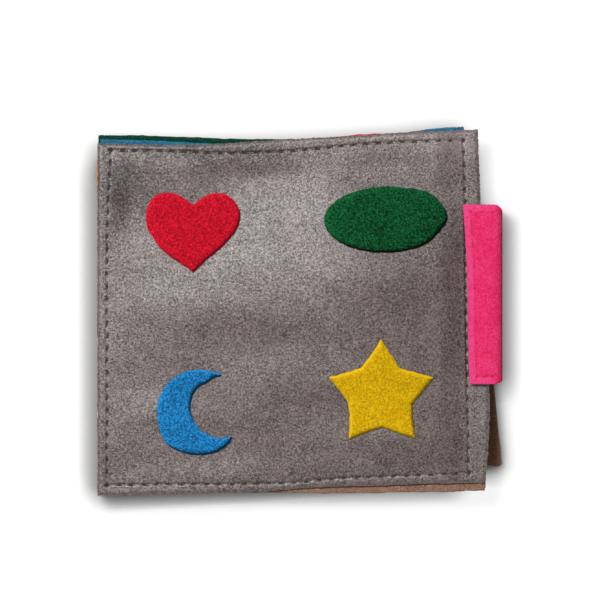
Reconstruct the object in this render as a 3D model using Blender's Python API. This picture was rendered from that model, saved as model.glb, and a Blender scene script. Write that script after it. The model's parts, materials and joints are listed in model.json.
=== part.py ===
"""A closed felt activity book with a closing strap, lying on its back cover.

Metres. +X runs from the spine to the fore-edge, +Y from the foot to the head, +Z up.
The origin is on the surface that the book lies on, below the middle of its outline.
"""

import math
from dataclasses import dataclass

import bmesh
import bpy
from mathutils import Vector

# Materials' thicknesses, and the clearance between two pieces that touch
FELT = 0.0015
INTERLINING = 0.0015
TAPE = 0.0010
FIT = 0.0003

# Place of the block: the spine edge, and the line of the foot and of the head at the spine
SPINE_X = -0.0830
FOOT_Y = -0.0755
COVER_DEPTH = 0.1434
COVER_WIDTH = 0.1560

# The back cover's outer felt is cut this much smaller than its lining
BACK_TRIM = 0.0006

# Width of the strip at the spine that the binding seam holds down
BINDING = 0.0055

# How far the hand-cut edges wander: sheets' edges are shares of these
FORE_EDGE_SWAY = 0.0050
HEAD_WANDER = 0.0080
FOOT_WANDER = 0.0052

# The cover's seam: distance in from the open edges, width and depth of its channel
SEAM_INSET = 0.0048
SEAM_WIDTH = 0.0018
SEAM_DEPTH = 0.0004
SPINE_SEAM_INSET = 0.0044

# Inside the seam the outer felt climbs over the interlining's edge on a slope this wide
PINCH_SLOPE = 0.0026

# The closed book swells in the middle, in four gentle waves: their heights, how many lie across and up it
SWELL_MEAN = 0.0015
SWELL_HEIGHTS = (0.0012, 0.0017, 0.0017, 0.0008)
SWELL_WAVES_ACROSS = (1.04, 0.59, 0.01, 1.12)
SWELL_WAVES_UP = (0.47, -1.55, 0.85, -1.88)
SWELL_PHASE_SHARES = (0.017, 0.669, 0.723, 0.047)
SWELL_FADE_SHARE = 0.30
SWELL_SPINE_SHARE = 0.07
SWELL_FORE_SHARE = 0.05

# Closing strap: one band of felt from inside the back cover, round the fore-edge, on to the cover
STRAP_DEPTH = 0.0700
STRAP_CENTRE_SHARE = 0.572
STRAP_SEWN = 0.0180
STRAP_STANDOFF = 0.0016
BEND_INSIDE = 0.0015
BEND_STEPS = 6
FLAP_HEAD_FLARE = 0.0022
FLAP_FOOT_FLARE = 0.0012

# Loop tape along the cover's fore-edge, hook tape above it, the flap's free edge just beyond them
TAPE_WIDTH = 0.0050
TAPE_MARGIN = 0.0008
TAPE_INSET = 0.0014
TAPE_END_INSET = 0.0034

# Leaves end this far inside the sweep of the closed flap
LEAF_CLEARANCE = 0.0006
LEAF_HEAD_CORNER = 0.0022

# Cut-outs on the front cover, and where their middles lie across and up it
HEART_LOBE_RADIUS = 0.0094
HEART_LOBE_SPREAD = 0.0098
HEART_NOTCH_RISE = 0.0046
HEART_TIP_DROP = 0.0230
HEART_SHARES = (0.243, 0.800)
OVAL_HALF_WIDTH = 0.0254
OVAL_HALF_DEPTH = 0.0135
OVAL_TILT = math.radians(1.4)
OVAL_SHARES = (0.734, 0.790)
CRESCENT_RADIUS = 0.0175
CRESCENT_BITE_RADIUS = 0.0131
CRESCENT_BITE_OFFSET = 0.0095
CRESCENT_TURN = math.radians(14.2)
CRESCENT_TIP_TRIM = math.radians(3.5)
CRESCENT_SHARES = (0.260, 0.239)
STAR_RADIUS = 0.0226
STAR_WAIST_SHARE = 0.58
STAR_POINTS = 5
STAR_SHARES = (0.722, 0.282)
ARC_STEPS = 14
RING_SHARES = (0.62, 0.28)

# Edges as shares of the wander, at even places: head and foot from the spine on, the fore-edge from the foot
COVER_FORE_SHARES = (0.62, 0.88, 0.94, 0.70, 0.52, 0.40, 0.26, 0.12, 0.0)
COVER_HEAD_SHARES = (0.075, 0.01, 0.0, 0.14, 0.275, 0.39, 0.60, 0.70, 0.81)
COVER_FOOT_SHARES = (0.0, 0.08, 0.155, 0.25, 0.44, 0.58, 0.69, 0.83, 0.98)
FRONT_LINING_FORE_SHARES = (0.58, 0.80, 0.86, 0.62, 0.44, 0.32, 0.18, 0.04, -0.08)
FRONT_LINING_HEAD_SHARES = (0.0, -0.06, -0.07, 0.06, 0.20, 0.31, 0.52, 0.62, 0.73)
FRONT_LINING_FOOT_SHARES = (0.05, 0.13, 0.20, 0.23, 0.24, 0.28, 0.33, 0.39, 0.50)
LEAF_1_HEAD_SHARES = (0.35, 0.29, 0.17, 0.06, 0.09, 0.20, 0.39, 0.51, 0.59)
LEAF_1_FOOT_SHARES = (0.40, 0.40, 0.44, 0.48, 0.52, 0.55, 0.60, 0.66, 0.72)
LEAF_2_HEAD_SHARES = (0.56, 0.53, 0.44, 0.36, 0.38, 0.51, 0.55, 0.61, 0.66)
LEAF_2_FOOT_SHARES = (0.34, 0.36, 0.40, 0.44, 0.46, 0.50, 0.56, 0.60, 0.64)
LEAF_3_HEAD_SHARES = (0.32, 0.31, 0.26, 0.25, 0.31, 0.50, 0.70, 0.79, 0.81)
LEAF_3_FOOT_SHARES = (0.44, 0.46, 0.50, 0.54, 0.58, 0.62, 0.66, 0.72, 0.80)
LEAF_4_HEAD_SHARES = (0.26, 0.25, 0.20, 0.20, 0.30, 0.42, 0.64, 0.915, 0.95)
LEAF_4_FOOT_SHARES = (0.36, 0.38, 0.42, 0.46, 0.50, 0.56, 0.62, 0.70, 0.78)
LEAF_FORE_SHARES = (0.10, 0.0, 0.0, 0.0, 0.0, 0.0, 0.0, 0.12, 1.0)
BACK_LINING_FORE_SHARES = (2.0, 1.68, 1.36, 1.03, 0.71, 0.39, 0.07, -0.26, -0.58)
BACK_LINING_HEAD_SHARES = (-0.50, -0.40, -0.30, -0.20, -0.10, 0.0, 0.10, 0.20, 0.30)
BACK_LINING_FOOT_SHARES = (0.23, 0.51, 0.79, 1.07, 1.36, 1.64, 1.92, 2.20, 2.48)

# Grid cells of a sheet, across and up it
SHEET_CELLS = 12
SMOOTH_UNDER = math.radians(40)

# Felt colours, linear
GREY = (0.165, 0.138, 0.133, 1.0)
TAN = (0.235, 0.128, 0.095, 1.0)
BROWN = (0.060, 0.030, 0.018, 1.0)
WHITE = (0.70, 0.69, 0.66, 1.0)
RED = (0.540, 0.012, 0.028, 1.0)
GREEN = (0.007, 0.070, 0.023, 1.0)
BLUE = (0.015, 0.178, 0.434, 1.0)
YELLOW = (0.610, 0.371, 0.006, 1.0)
ORANGE = (0.620, 0.170, 0.020, 1.0)
PINK = (0.815, 0.036, 0.150, 1.0)
BLACK = (0.020, 0.020, 0.022, 1.0)
FELT_ROUGHNESS = 0.95
TAPE_ROUGHNESS = 0.8


@dataclass
class Sheet:
    """One layer of the stack: its edges as shares of the wanders, and the body that it turns with."""

    name: str
    body: str
    colour: tuple
    thickness: float
    head_shares: tuple
    foot_shares: tuple
    fore_shares: tuple = LEAF_FORE_SHARES
    inset: float = 0.0
    fore_inset: float = 0.0
    bottom: float = 0.0


# Outside its seam the cover's felt is drawn down on to the lining, past the interlining's edge
PINCH = INTERLINING + FIT
PINCH_BAND = SEAM_INSET + SEAM_WIDTH / 2
PINCH_FORE_BAND = TAPE_WIDTH + 2 * TAPE_MARGIN
INTERLINING_INSET = PINCH_BAND + PINCH_SLOPE + FIT
INTERLINING_FORE_INSET = PINCH_FORE_BAND + PINCH_SLOPE + FIT

BACK_FELT = Sheet(
    "back_cover_felt",
    "back_cover",
    GREY,
    FELT,
    BACK_LINING_HEAD_SHARES,
    BACK_LINING_FOOT_SHARES,
    BACK_LINING_FORE_SHARES,
    BACK_TRIM,
    BACK_TRIM,
)
BACK_INTERLINING = Sheet(
    "back_cover_interlining",
    "back_cover",
    WHITE,
    INTERLINING,
    BACK_LINING_HEAD_SHARES,
    BACK_LINING_FOOT_SHARES,
    BACK_LINING_FORE_SHARES,
    INTERLINING_INSET,
    INTERLINING_FORE_INSET,
)
BACK_LINING = Sheet(
    "back_cover_lining",
    "back_cover",
    BROWN,
    FELT,
    BACK_LINING_HEAD_SHARES,
    BACK_LINING_FOOT_SHARES,
    BACK_LINING_FORE_SHARES,
)
FRONT_LINING = Sheet(
    "front_cover_lining",
    "front_cover",
    TAN,
    FELT,
    FRONT_LINING_HEAD_SHARES,
    FRONT_LINING_FOOT_SHARES,
    FRONT_LINING_FORE_SHARES,
)
FRONT_INTERLINING = Sheet(
    "front_cover_interlining",
    "front_cover",
    WHITE,
    INTERLINING,
    COVER_HEAD_SHARES,
    COVER_FOOT_SHARES,
    COVER_FORE_SHARES,
    INTERLINING_INSET,
    INTERLINING_FORE_INSET,
)
FRONT_FELT = Sheet(
    "front_cover_felt",
    "front_cover",
    GREY,
    FELT,
    COVER_HEAD_SHARES,
    COVER_FOOT_SHARES,
    COVER_FORE_SHARES,
)

# Leaves from the bottom of the block to the top: name, lower and upper colour, head and foot edge
LEAVES = (
    ("leaf_4", ORANGE, BLUE, LEAF_4_HEAD_SHARES, LEAF_4_FOOT_SHARES),
    ("leaf_3", RED, RED, LEAF_3_HEAD_SHARES, LEAF_3_FOOT_SHARES),
    ("leaf_2", GREEN, GREEN, LEAF_2_HEAD_SHARES, LEAF_2_FOOT_SHARES),
    ("leaf_1", BLUE, BLUE, LEAF_1_HEAD_SHARES, LEAF_1_FOOT_SHARES),
)


def leaf_sheets():
    """Two sheets for each leaf, lower first."""
    sheets = []
    for name, lower, upper, head_shares, foot_shares in LEAVES:
        sheets.append(Sheet(name + "_lower_sheet", name, lower, FELT, head_shares, foot_shares))
        sheets.append(Sheet(name + "_upper_sheet", name, upper, FELT, head_shares, foot_shares))
    return sheets


def stacked(sheets):
    """Gives each sheet its bottom level, from the floor up, and returns the level of the stack's top."""
    level = 0.0
    for sheet in sheets:
        sheet.bottom = level
        level += sheet.thickness + FIT
    return level - FIT


LEAF_SHEETS = leaf_sheets()
BACK_SHEETS = [BACK_FELT, BACK_INTERLINING, BACK_LINING]
STACK = [*BACK_SHEETS, *LEAF_SHEETS, FRONT_LINING, FRONT_INTERLINING, FRONT_FELT]
STACK_TOP = stacked(STACK)
HINGE_X = SPINE_X + BINDING
HINGE_Z = STACK_TOP + FIT
COVER_REACH = COVER_WIDTH + FORE_EDGE_SWAY
HEAD_Y = FOOT_Y + COVER_DEPTH


def smooth_through(shares, place):
    """Reads a smooth curve through evenly spaced shares, at a place from 0 to 1."""
    spans = len(shares) - 1
    along = min(max(place, 0.0), 1.0) * spans
    first = min(int(along), spans - 1)
    part = along - first
    before = shares[max(first - 1, 0)]
    here = shares[first]
    there = shares[first + 1]
    after = shares[min(first + 2, spans)]
    slope_here = (there - before) / 2
    slope_there = (after - here) / 2
    rise = there - here
    return (
        here
        + slope_here * part
        + (3 * rise - 2 * slope_here - slope_there) * part**2
        + (slope_here + slope_there - 2 * rise) * part**3
    )


def across(x):
    """Place of x from the spine, 0, to the cover's widest fore-edge, 1."""
    return (x - SPINE_X) / COVER_REACH


def foot_edge(sheet, x):
    return FOOT_Y + sheet.inset + FOOT_WANDER * smooth_through(sheet.foot_shares, across(x))


def head_edge(sheet, x):
    return HEAD_Y - sheet.inset + HEAD_WANDER * smooth_through(sheet.head_shares, across(x))


def cover_fore_edge(sheet, up):
    """X of a cover sheet's open edge, at a place up the sheet from 0 to 1."""
    share = smooth_through(sheet.fore_shares, up)
    return SPINE_X + COVER_WIDTH - sheet.fore_inset + FORE_EDGE_SWAY * share


def cover_fore_edge_at(sheet, y):
    corner_x = SPINE_X + COVER_WIDTH
    foot = foot_edge(sheet, corner_x)
    return cover_fore_edge(sheet, (y - foot) / (head_edge(sheet, corner_x) - foot))


# Levels and ends of the closing strap
STRAP_Y = FOOT_Y + STRAP_CENTRE_SHARE * COVER_DEPTH
STRAP_HEAD_Y = STRAP_Y + STRAP_DEPTH / 2
STRAP_FOOT_Y = STRAP_Y - STRAP_DEPTH / 2
STRAP_BASE_Z = BACK_INTERLINING.bottom
LOWER_BEND_Z = STRAP_BASE_Z + FELT + BEND_INSIDE
LOOP_Z = STACK_TOP - PINCH + FIT
HOOK_Z = LOOP_Z + TAPE + FIT
FLAP_Z = HOOK_Z + TAPE + FIT
UPPER_BEND_Z = FLAP_Z - BEND_INSIDE
FLAP_HEAD_Y = STRAP_HEAD_Y + FLAP_HEAD_FLARE
FLAP_FOOT_Y = STRAP_FOOT_Y - FLAP_FOOT_FLARE
TAPE_HEAD_Y = FLAP_HEAD_Y - TAPE_END_INSET
TAPE_FOOT_Y = FLAP_FOOT_Y + TAPE_END_INSET

# The strap's wall stands clear of the sheets that reach furthest, where the strap passes them
WIDEST_X = max(cover_fore_edge_at(sheet, STRAP_FOOT_Y) for sheet in (FRONT_FELT, BACK_LINING))
WALL_X = WIDEST_X + STRAP_STANDOFF
BEND_X = WALL_X - BEND_INSIDE

# The tapes' inner edge, and the flap's free edge beyond it
TAPE_HEAD_X = cover_fore_edge_at(FRONT_FELT, TAPE_HEAD_Y) - TAPE_MARGIN - TAPE_WIDTH
TAPE_FOOT_X = cover_fore_edge_at(FRONT_FELT, TAPE_FOOT_Y) - TAPE_MARGIN - TAPE_WIDTH
TAPE_SLANT = (TAPE_FOOT_X - TAPE_HEAD_X) / (TAPE_FOOT_Y - TAPE_HEAD_Y)
FLAP_HEAD_X = TAPE_HEAD_X - TAPE_INSET + TAPE_SLANT * (FLAP_HEAD_Y - TAPE_HEAD_Y)
FLAP_FOOT_X = TAPE_FOOT_X - TAPE_INSET + TAPE_SLANT * (FLAP_FOOT_Y - TAPE_FOOT_Y)


def clear_scene():
    for obj in list(bpy.data.objects):
        bpy.data.objects.remove(obj)


def plain_material(name, colour, roughness):
    material = bpy.data.materials.new(name)
    material.use_nodes = True
    shader = material.node_tree.nodes["Principled BSDF"]
    shader.inputs["Base Color"].default_value = colour
    shader.inputs["Roughness"].default_value = roughness
    shader.inputs["Metallic"].default_value = 0.0
    material.diffuse_color = colour
    return material


def leaf_reach(sheet):
    """How far a leaf may reach from the hinge, so that its swing passes inside the flap."""
    below = HINGE_Z - sheet.bottom
    sweep = FLAP_HEAD_X - LEAF_CLEARANCE - HINGE_X
    return math.sqrt(sweep**2 - below**2)


def fore_edge(sheet, up):
    """X of the open edge opposite the spine, at a place up the sheet from 0 to 1."""
    if sheet in LEAF_SHEETS:
        share = smooth_through(sheet.fore_shares, up)
        return HINGE_X + leaf_reach(sheet) + LEAF_HEAD_CORNER * share
    return cover_fore_edge(sheet, up)


def sheet_point(sheet, start_x, part, up):
    """A point of the sheet's outline grid, from start_x to its fore-edge and from foot to head."""
    x = start_x + part * (fore_edge(sheet, up) - start_x)
    foot = foot_edge(sheet, x)
    return x, foot + up * (head_edge(sheet, x) - foot)


def eased(share):
    share = min(max(share, 0.0), 1.0)
    return share * share * (3 - 2 * share)


def swell(x, y):
    """How far the top of the stack stands above its level at the edges."""
    over = across(x)
    up = (y - FOOT_Y) / COVER_DEPTH
    fade = eased((over - SWELL_SPINE_SHARE) / SWELL_FADE_SHARE)
    fade *= eased((1 - SWELL_FORE_SHARE - over) / SWELL_FADE_SHARE)
    fade *= eased(up / SWELL_FADE_SHARE) * eased((1 - up) / SWELL_FADE_SHARE)
    waves = zip(SWELL_HEIGHTS, SWELL_WAVES_ACROSS, SWELL_WAVES_UP, SWELL_PHASE_SHARES)
    rise = sum(height * math.cos(math.tau * (i * over + j * up + phase)) for height, i, j, phase in waves)
    return fade * (SWELL_MEAN + rise)


def lift_share(sheet):
    """The back cover lies flat, and each layer above it takes more of the swell."""
    flat = BACK_LINING.bottom
    return max(sheet.bottom - flat, 0.0) / (FRONT_FELT.bottom - flat)


def cover_top(x, y):
    return STACK_TOP + swell(x, y)


def solid_from_grid(bottom, top):
    """A closed mesh between two grids of points, rows of equal length."""
    mesh = bmesh.new()
    rows = len(top)
    columns = len(top[0])
    low = [[mesh.verts.new(point) for point in row] for row in bottom]
    high = [[mesh.verts.new(point) for point in row] for row in top]
    for i in range(rows - 1):
        for j in range(columns - 1):
            mesh.faces.new((high[i][j], high[i + 1][j], high[i + 1][j + 1], high[i][j + 1]))
            mesh.faces.new((low[i][j], low[i][j + 1], low[i + 1][j + 1], low[i + 1][j]))
    rim = [(i, 0) for i in range(rows)]
    rim += [(rows - 1, j) for j in range(1, columns)]
    rim += [(i, columns - 1) for i in range(rows - 2, -1, -1)]
    rim += [(0, j) for j in range(columns - 2, 0, -1)]
    for (i, j), (k, m) in zip(rim, rim[1:] + rim[:1]):
        mesh.faces.new((low[i][j], low[k][m], high[k][m], high[i][j]))
    bmesh.ops.recalc_face_normals(mesh, faces=mesh.faces)
    return mesh


def solid_from_outline(points, bottom, thickness):
    """A flat closed mesh with the given outline."""
    mesh = bmesh.new()
    face = mesh.faces.new([mesh.verts.new((x, y, bottom)) for x, y in points])
    raised = bmesh.ops.extrude_face_region(mesh, geom=[face])
    moved = [item for item in raised["geom"] if isinstance(item, bmesh.types.BMVert)]
    bmesh.ops.translate(mesh, verts=moved, vec=(0, 0, thickness))
    bmesh.ops.recalc_face_normals(mesh, faces=mesh.faces)
    return mesh


def add_object(name, mesh, material, pivot=None):
    """Puts a mesh made at its place in the book into the scene, under its pivot."""
    if pivot is not None:
        bmesh.ops.translate(mesh, verts=mesh.verts, vec=-pivot_place(pivot))
    data = bpy.data.meshes.new(name)
    mesh.to_mesh(data)
    mesh.free()
    data.materials.append(material)
    data.shade_smooth()
    data.set_sharp_from_angle(angle=SMOOTH_UNDER)
    obj = bpy.data.objects.new(name, data)
    bpy.context.scene.collection.objects.link(obj)
    obj.parent = pivot
    return obj


def pivot_place(pivot):
    """World position of a pivot, whose parents only move it."""
    place = Vector(pivot.location)
    while pivot.parent is not None:
        pivot = pivot.parent
        place += pivot.location
    return place


def add_pivot(name, place, parent=None):
    """An empty on a joint's axis, which runs along Y."""
    pivot = bpy.data.objects.new(name, None)
    pivot.empty_display_type = "SINGLE_ARROW"
    pivot.empty_display_size = BINDING
    bpy.context.scene.collection.objects.link(pivot)
    pivot.location = Vector(place)
    if parent is not None:
        pivot.location -= pivot_place(parent)
        pivot.parent = parent
    return pivot


def even_shares(count):
    return [i / count for i in range(count + 1)]


def seam_lines(length, flat_band):
    """Shares of a length at the edge, at the channel's three lines, and at the slope's foot and top."""
    half = SEAM_WIDTH / 2
    lines = (0.0, SEAM_INSET - half, SEAM_INSET, SEAM_INSET + half, flat_band, flat_band + PINCH_SLOPE)
    return sorted({line / length for line in lines})


def cover_felt_lines():
    """The outer felt's grid lines across and up it, and how many of them lie in each pinched band."""
    fore = [1 - share for share in reversed(seam_lines(COVER_WIDTH, PINCH_FORE_BAND))]
    foot = seam_lines(COVER_DEPTH, PINCH_BAND)
    head = [1 - share for share in reversed(foot)]
    inner = even_shares(SHEET_CELLS)[:-1]
    parts = [*[fore[0] * share for share in inner], *fore]
    ups = [*foot[:-1], *[foot[-1] + (head[0] - foot[-1]) * share for share in inner], *head]
    return parts, ups, len(fore) - 1, len(foot) - 1


def swelling_sheet(sheet, start_x, parts, ups, drop=None):
    """A sheet that follows the swell. A grid point's drop lowers it, and then its top face alone."""
    share = lift_share(sheet)
    bottom = []
    top = []
    for i, part in enumerate(parts):
        low_row = []
        high_row = []
        for j, up in enumerate(ups):
            x, y = sheet_point(sheet, start_x, part, up)
            fall, cut = drop(i, j) if drop else (0.0, 0.0)
            level = sheet.bottom + share * swell(x, y) - fall
            low_row.append((x, y, level))
            high_row.append((x, y, level + sheet.thickness - cut))
        bottom.append(low_row)
        top.append(high_row)
    return solid_from_grid(bottom, top)


def cover_felt_mesh():
    """The front cover's outer felt: swollen, pinched down outside its seam, with the seam's channel."""
    parts, ups, fore_band, side_band = cover_felt_lines()
    fore_line = parts.index(1 - SEAM_INSET / COVER_WIDTH)
    foot_line = ups.index(SEAM_INSET / COVER_DEPTH)
    head_line = ups.index(1 - SEAM_INSET / COVER_DEPTH)

    def drop(i, j):
        pinched = i >= len(parts) - fore_band or j < side_band or j >= len(ups) - side_band
        along_side = j in (foot_line, head_line) and i <= fore_line
        along_fore_edge = i == fore_line and foot_line <= j <= head_line
        return PINCH if pinched else 0.0, SEAM_DEPTH if along_side or along_fore_edge else 0.0

    return swelling_sheet(FRONT_FELT, HINGE_X + FIT, parts, ups, drop)


def strip_mesh(sheet, lines, ups, drop=None):
    """The strip of a sheet that the binding seam holds, with grid lines at distances from the spine."""
    bottom = []
    top = []
    for line in lines:
        x = SPINE_X + line
        foot = foot_edge(sheet, x)
        depth = head_edge(sheet, x) - foot
        low_row = []
        high_row = []
        for j, up in enumerate(ups):
            fall, cut = drop(line, j) if drop else (0.0, 0.0)
            level = sheet.bottom - fall
            low_row.append((x, foot + up * depth, level))
            high_row.append((x, foot + up * depth, level + sheet.thickness - cut))
        bottom.append(low_row)
        top.append(high_row)
    return solid_from_grid(bottom, top)


def cover_strip_mesh():
    """The cover's strip, with the binding seam's channel and its ends pinched as the cover's sides are."""
    half = SEAM_WIDTH / 2
    lines = (0.0, SPINE_SEAM_INSET - half, SPINE_SEAM_INSET, SPINE_SEAM_INSET + half, BINDING)
    _, ups, _, side_band = cover_felt_lines()

    def drop(line, j):
        pinched = j < side_band or j >= len(ups) - side_band
        return PINCH if pinched else 0.0, SEAM_DEPTH if line == SPINE_SEAM_INSET else 0.0

    return strip_mesh(FRONT_FELT, lines, ups, drop)


def flat_outline(sheet, steps=SHEET_CELLS):
    """The whole outline of a sheet of the back cover, from the spine's foot round by the fore-edge."""
    foot = [sheet_point(sheet, SPINE_X, share, 0.0) for share in even_shares(steps)]
    fore = [sheet_point(sheet, SPINE_X, 1.0, share) for share in even_shares(steps)[1:-1]]
    head = [sheet_point(sheet, SPINE_X, share, 1.0) for share in reversed(even_shares(steps))]
    return foot, fore, head


def notched(fore):
    """The interlining's fore-edge, cut back round the strap's sewn end."""
    inner_x = BEND_X - STRAP_SEWN - FIT
    low = STRAP_FOOT_Y - FIT
    high = STRAP_HEAD_Y + FIT
    below = [point for point in fore if point[1] < low]
    above = [point for point in fore if point[1] > high]
    edge_x = max(x for x, y in fore)
    low_x = below[-1][0] if below else edge_x
    high_x = above[0][0] if above else edge_x
    return [*below, (low_x, low), (inner_x, low), (inner_x, high), (high_x, high), *above]


def add_back_cover(felts):
    for sheet in BACK_SHEETS:
        foot, fore, head = flat_outline(sheet)
        if sheet is BACK_INTERLINING:
            fore = notched(fore)
        mesh = solid_from_outline([*foot, *fore, *head], sheet.bottom, sheet.thickness)
        add_object(sheet.name, mesh, felts[sheet.colour])


def add_bound_edges(felts):
    for sheet in (*LEAF_SHEETS, FRONT_LINING, FRONT_INTERLINING):
        mesh = strip_mesh(sheet, (0.0, BINDING), (0.0, 1.0))
        add_object(sheet.name + "_bound_edge", mesh, felts[sheet.colour])
    add_object(FRONT_FELT.name + "_bound_edge", cover_strip_mesh(), felts[GREY])


def add_turning_sheets(felts, pivots):
    evenly = even_shares(SHEET_CELLS)
    for sheet in (*LEAF_SHEETS, FRONT_LINING, FRONT_INTERLINING):
        mesh = swelling_sheet(sheet, HINGE_X + FIT, evenly, evenly)
        add_object(sheet.name, mesh, felts[sheet.colour], pivots[sheet.body])
    add_object(FRONT_FELT.name, cover_felt_mesh(), felts[GREY], pivots["front_cover"])


def on_cover(shares):
    """The place on the cover that two shares name, from the spine and from the foot."""
    over, up = shares
    return Vector((SPINE_X + over * COVER_REACH, FOOT_Y + up * COVER_DEPTH))


def cutout_from_rings(outline, middle):
    """A felt cut-out lying on the cover: its outline, two smaller rings inside it and its middle."""
    mesh = bmesh.new()
    faces = []
    for rise in (FIT, FIT + FELT):
        rings = []
        for share in (1.0, *RING_SHARES):
            places = [middle + share * (point - middle) for point in outline]
            rings.append([mesh.verts.new((p.x, p.y, cover_top(p.x, p.y) + rise)) for p in places])
        centre = mesh.verts.new((middle.x, middle.y, cover_top(middle.x, middle.y) + rise))
        for outer, inner in zip(rings, rings[1:]):
            bridge(mesh, outer, inner)
        for i, vert in enumerate(rings[-1]):
            mesh.faces.new((vert, rings[-1][i - 1], centre))
        faces.append(rings[0])
    bridge(mesh, faces[0], faces[1])
    bmesh.ops.recalc_face_normals(mesh, faces=mesh.faces)
    return mesh


def bridge(mesh, one, other):
    for i in range(len(one)):
        mesh.faces.new((one[i - 1], one[i], other[i], other[i - 1]))


def arc(centre, radius, start, end, steps=ARC_STEPS):
    angles = [start + (end - start) * share for share in even_shares(steps)]
    return [centre + radius * Vector((math.cos(angle), math.sin(angle))) for angle in angles]


def tangent_angle(centre, radius, point, side):
    """Angle at which the straight line from a point touches a circle, on the given side."""
    away = point - centre
    return math.atan2(away.y, away.x) + side * math.acos(radius / away.length)


def heart_outline():
    """Two round lobes, with straight lines from them to the notch and to the tip."""
    middle = on_cover(HEART_SHARES)
    lobe = middle + Vector((HEART_LOBE_SPREAD, 0))
    notch = middle + Vector((0, HEART_NOTCH_RISE))
    tip = middle - Vector((0, HEART_TIP_DROP))
    top = tangent_angle(lobe, HEART_LOBE_RADIUS, notch, -1)
    flank = tangent_angle(lobe, HEART_LOBE_RADIUS, tip, 1)
    right = arc(lobe, HEART_LOBE_RADIUS, flank, top)
    left = [Vector((2 * middle.x - point.x, point.y)) for point in reversed(right)]
    return [tip, *right, notch, *left], middle


def oval_outline():
    middle = on_cover(OVAL_SHARES)
    points = []
    for angle in [math.tau * share for share in even_shares(2 * ARC_STEPS)[:-1]]:
        along = OVAL_HALF_WIDTH * math.cos(angle)
        up = OVAL_HALF_DEPTH * math.sin(angle)
        turned_x = along * math.cos(OVAL_TILT) - up * math.sin(OVAL_TILT)
        turned_y = along * math.sin(OVAL_TILT) + up * math.cos(OVAL_TILT)
        points.append(middle + Vector((turned_x, turned_y)))
    return points, middle


def star_outline():
    middle = on_cover(STAR_SHARES)
    points = []
    for i in range(2 * STAR_POINTS):
        radius = STAR_RADIUS * (STAR_WAIST_SHARE if i % 2 else 1)
        angle = math.pi / 2 + math.pi * i / STAR_POINTS
        points.append(middle + radius * Vector((math.cos(angle), math.sin(angle))))
    return points, middle


def crescent_mesh():
    """Between two circles: a strip from one blunt tip round the back to the other."""
    middle = on_cover(CRESCENT_SHARES)
    facing = Vector((math.cos(CRESCENT_TURN), math.sin(CRESCENT_TURN)))
    bite = middle + CRESCENT_BITE_OFFSET * facing
    power = CRESCENT_RADIUS**2 - CRESCENT_BITE_RADIUS**2
    chord = (power / CRESCENT_BITE_OFFSET + CRESCENT_BITE_OFFSET) / 2
    outer_half = math.acos(chord / CRESCENT_RADIUS) + CRESCENT_TIP_TRIM
    inner_half = math.acos((chord - CRESCENT_BITE_OFFSET) / CRESCENT_BITE_RADIUS) + CRESCENT_TIP_TRIM
    steps = 2 * ARC_STEPS
    outer = arc(
        middle, CRESCENT_RADIUS, CRESCENT_TURN + outer_half, CRESCENT_TURN + math.tau - outer_half, steps
    )
    inner = arc(
        bite, CRESCENT_BITE_RADIUS, CRESCENT_TURN + inner_half, CRESCENT_TURN + math.tau - inner_half, steps
    )
    bottom = []
    top = []
    for outside, inside in zip(outer, inner):
        places = [outside, (outside + inside) / 2, inside]
        bottom.append([(p.x, p.y, cover_top(p.x, p.y) + FIT) for p in places])
        top.append([(p.x, p.y, cover_top(p.x, p.y) + FIT + FELT) for p in places])
    return solid_from_grid(bottom, top)


def add_cutouts(felts, pivot):
    for name, outline, colour in (
        ("heart", heart_outline, RED),
        ("oval", oval_outline, GREEN),
        ("star", star_outline, YELLOW),
    ):
        points, middle = outline()
        add_object(name, cutout_from_rings(points, middle), felts[colour], pivot)
    add_object("crescent", crescent_mesh(), felts[BLUE], pivot)


def tape_outline():
    """Outline that the hook tape and the loop tape share, along the cover's fore-edge."""
    near = [(TAPE_HEAD_X, TAPE_HEAD_Y), (TAPE_FOOT_X, TAPE_FOOT_Y)]
    far = [(x + TAPE_WIDTH, y) for x, y in reversed(near)]
    return [*near, *far]


def bend_mesh(centre_z, turn, start_flare, end_flare):
    """A quarter bend of the strap. Each flare is how much wider it is there, at the foot and at the head."""
    bottom = []
    top = []
    for share in even_shares(BEND_STEPS):
        angle = turn * (share - 1) * math.pi / 2
        foot = STRAP_FOOT_Y - start_flare[0] * (1 - share) - end_flare[0] * share
        head = STRAP_HEAD_Y + start_flare[1] * (1 - share) + end_flare[1] * share
        for radius, rows in ((BEND_INSIDE, top), (BEND_INSIDE + FELT, bottom)):
            x = BEND_X + radius * math.cos(angle)
            z = centre_z + radius * math.sin(angle)
            rows.append([(x, y, z) for y in (foot, head)])
    return solid_from_grid(bottom, top)


def strap_base_mesh():
    """The sewn end, between the back cover's felt and its lining."""
    inner_x = BEND_X - STRAP_SEWN
    outer_x = BEND_X - FIT
    corners = [
        (inner_x, STRAP_FOOT_Y),
        (outer_x, STRAP_FOOT_Y),
        (outer_x, STRAP_HEAD_Y),
        (inner_x, STRAP_HEAD_Y),
    ]
    return solid_from_outline(corners, STRAP_BASE_Z, FELT)


def strap_wall_mesh():
    """The upright stretch in front of the fore-edge."""
    corners = [
        (WALL_X, STRAP_FOOT_Y),
        (WALL_X + FELT, STRAP_FOOT_Y),
        (WALL_X + FELT, STRAP_HEAD_Y),
        (WALL_X, STRAP_HEAD_Y),
    ]
    low = LOWER_BEND_Z + FIT
    return solid_from_outline(corners, low, UPPER_BEND_Z - FIT - low)


def flap_mesh():
    """The free end on the front cover, a little wider than the band."""
    root_x = BEND_X - FIT
    corners = [
        (FLAP_FOOT_X, FLAP_FOOT_Y),
        (root_x, FLAP_FOOT_Y),
        (root_x, FLAP_HEAD_Y),
        (FLAP_HEAD_X, FLAP_HEAD_Y),
    ]
    return solid_from_outline(corners, FLAP_Z, FELT)


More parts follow.
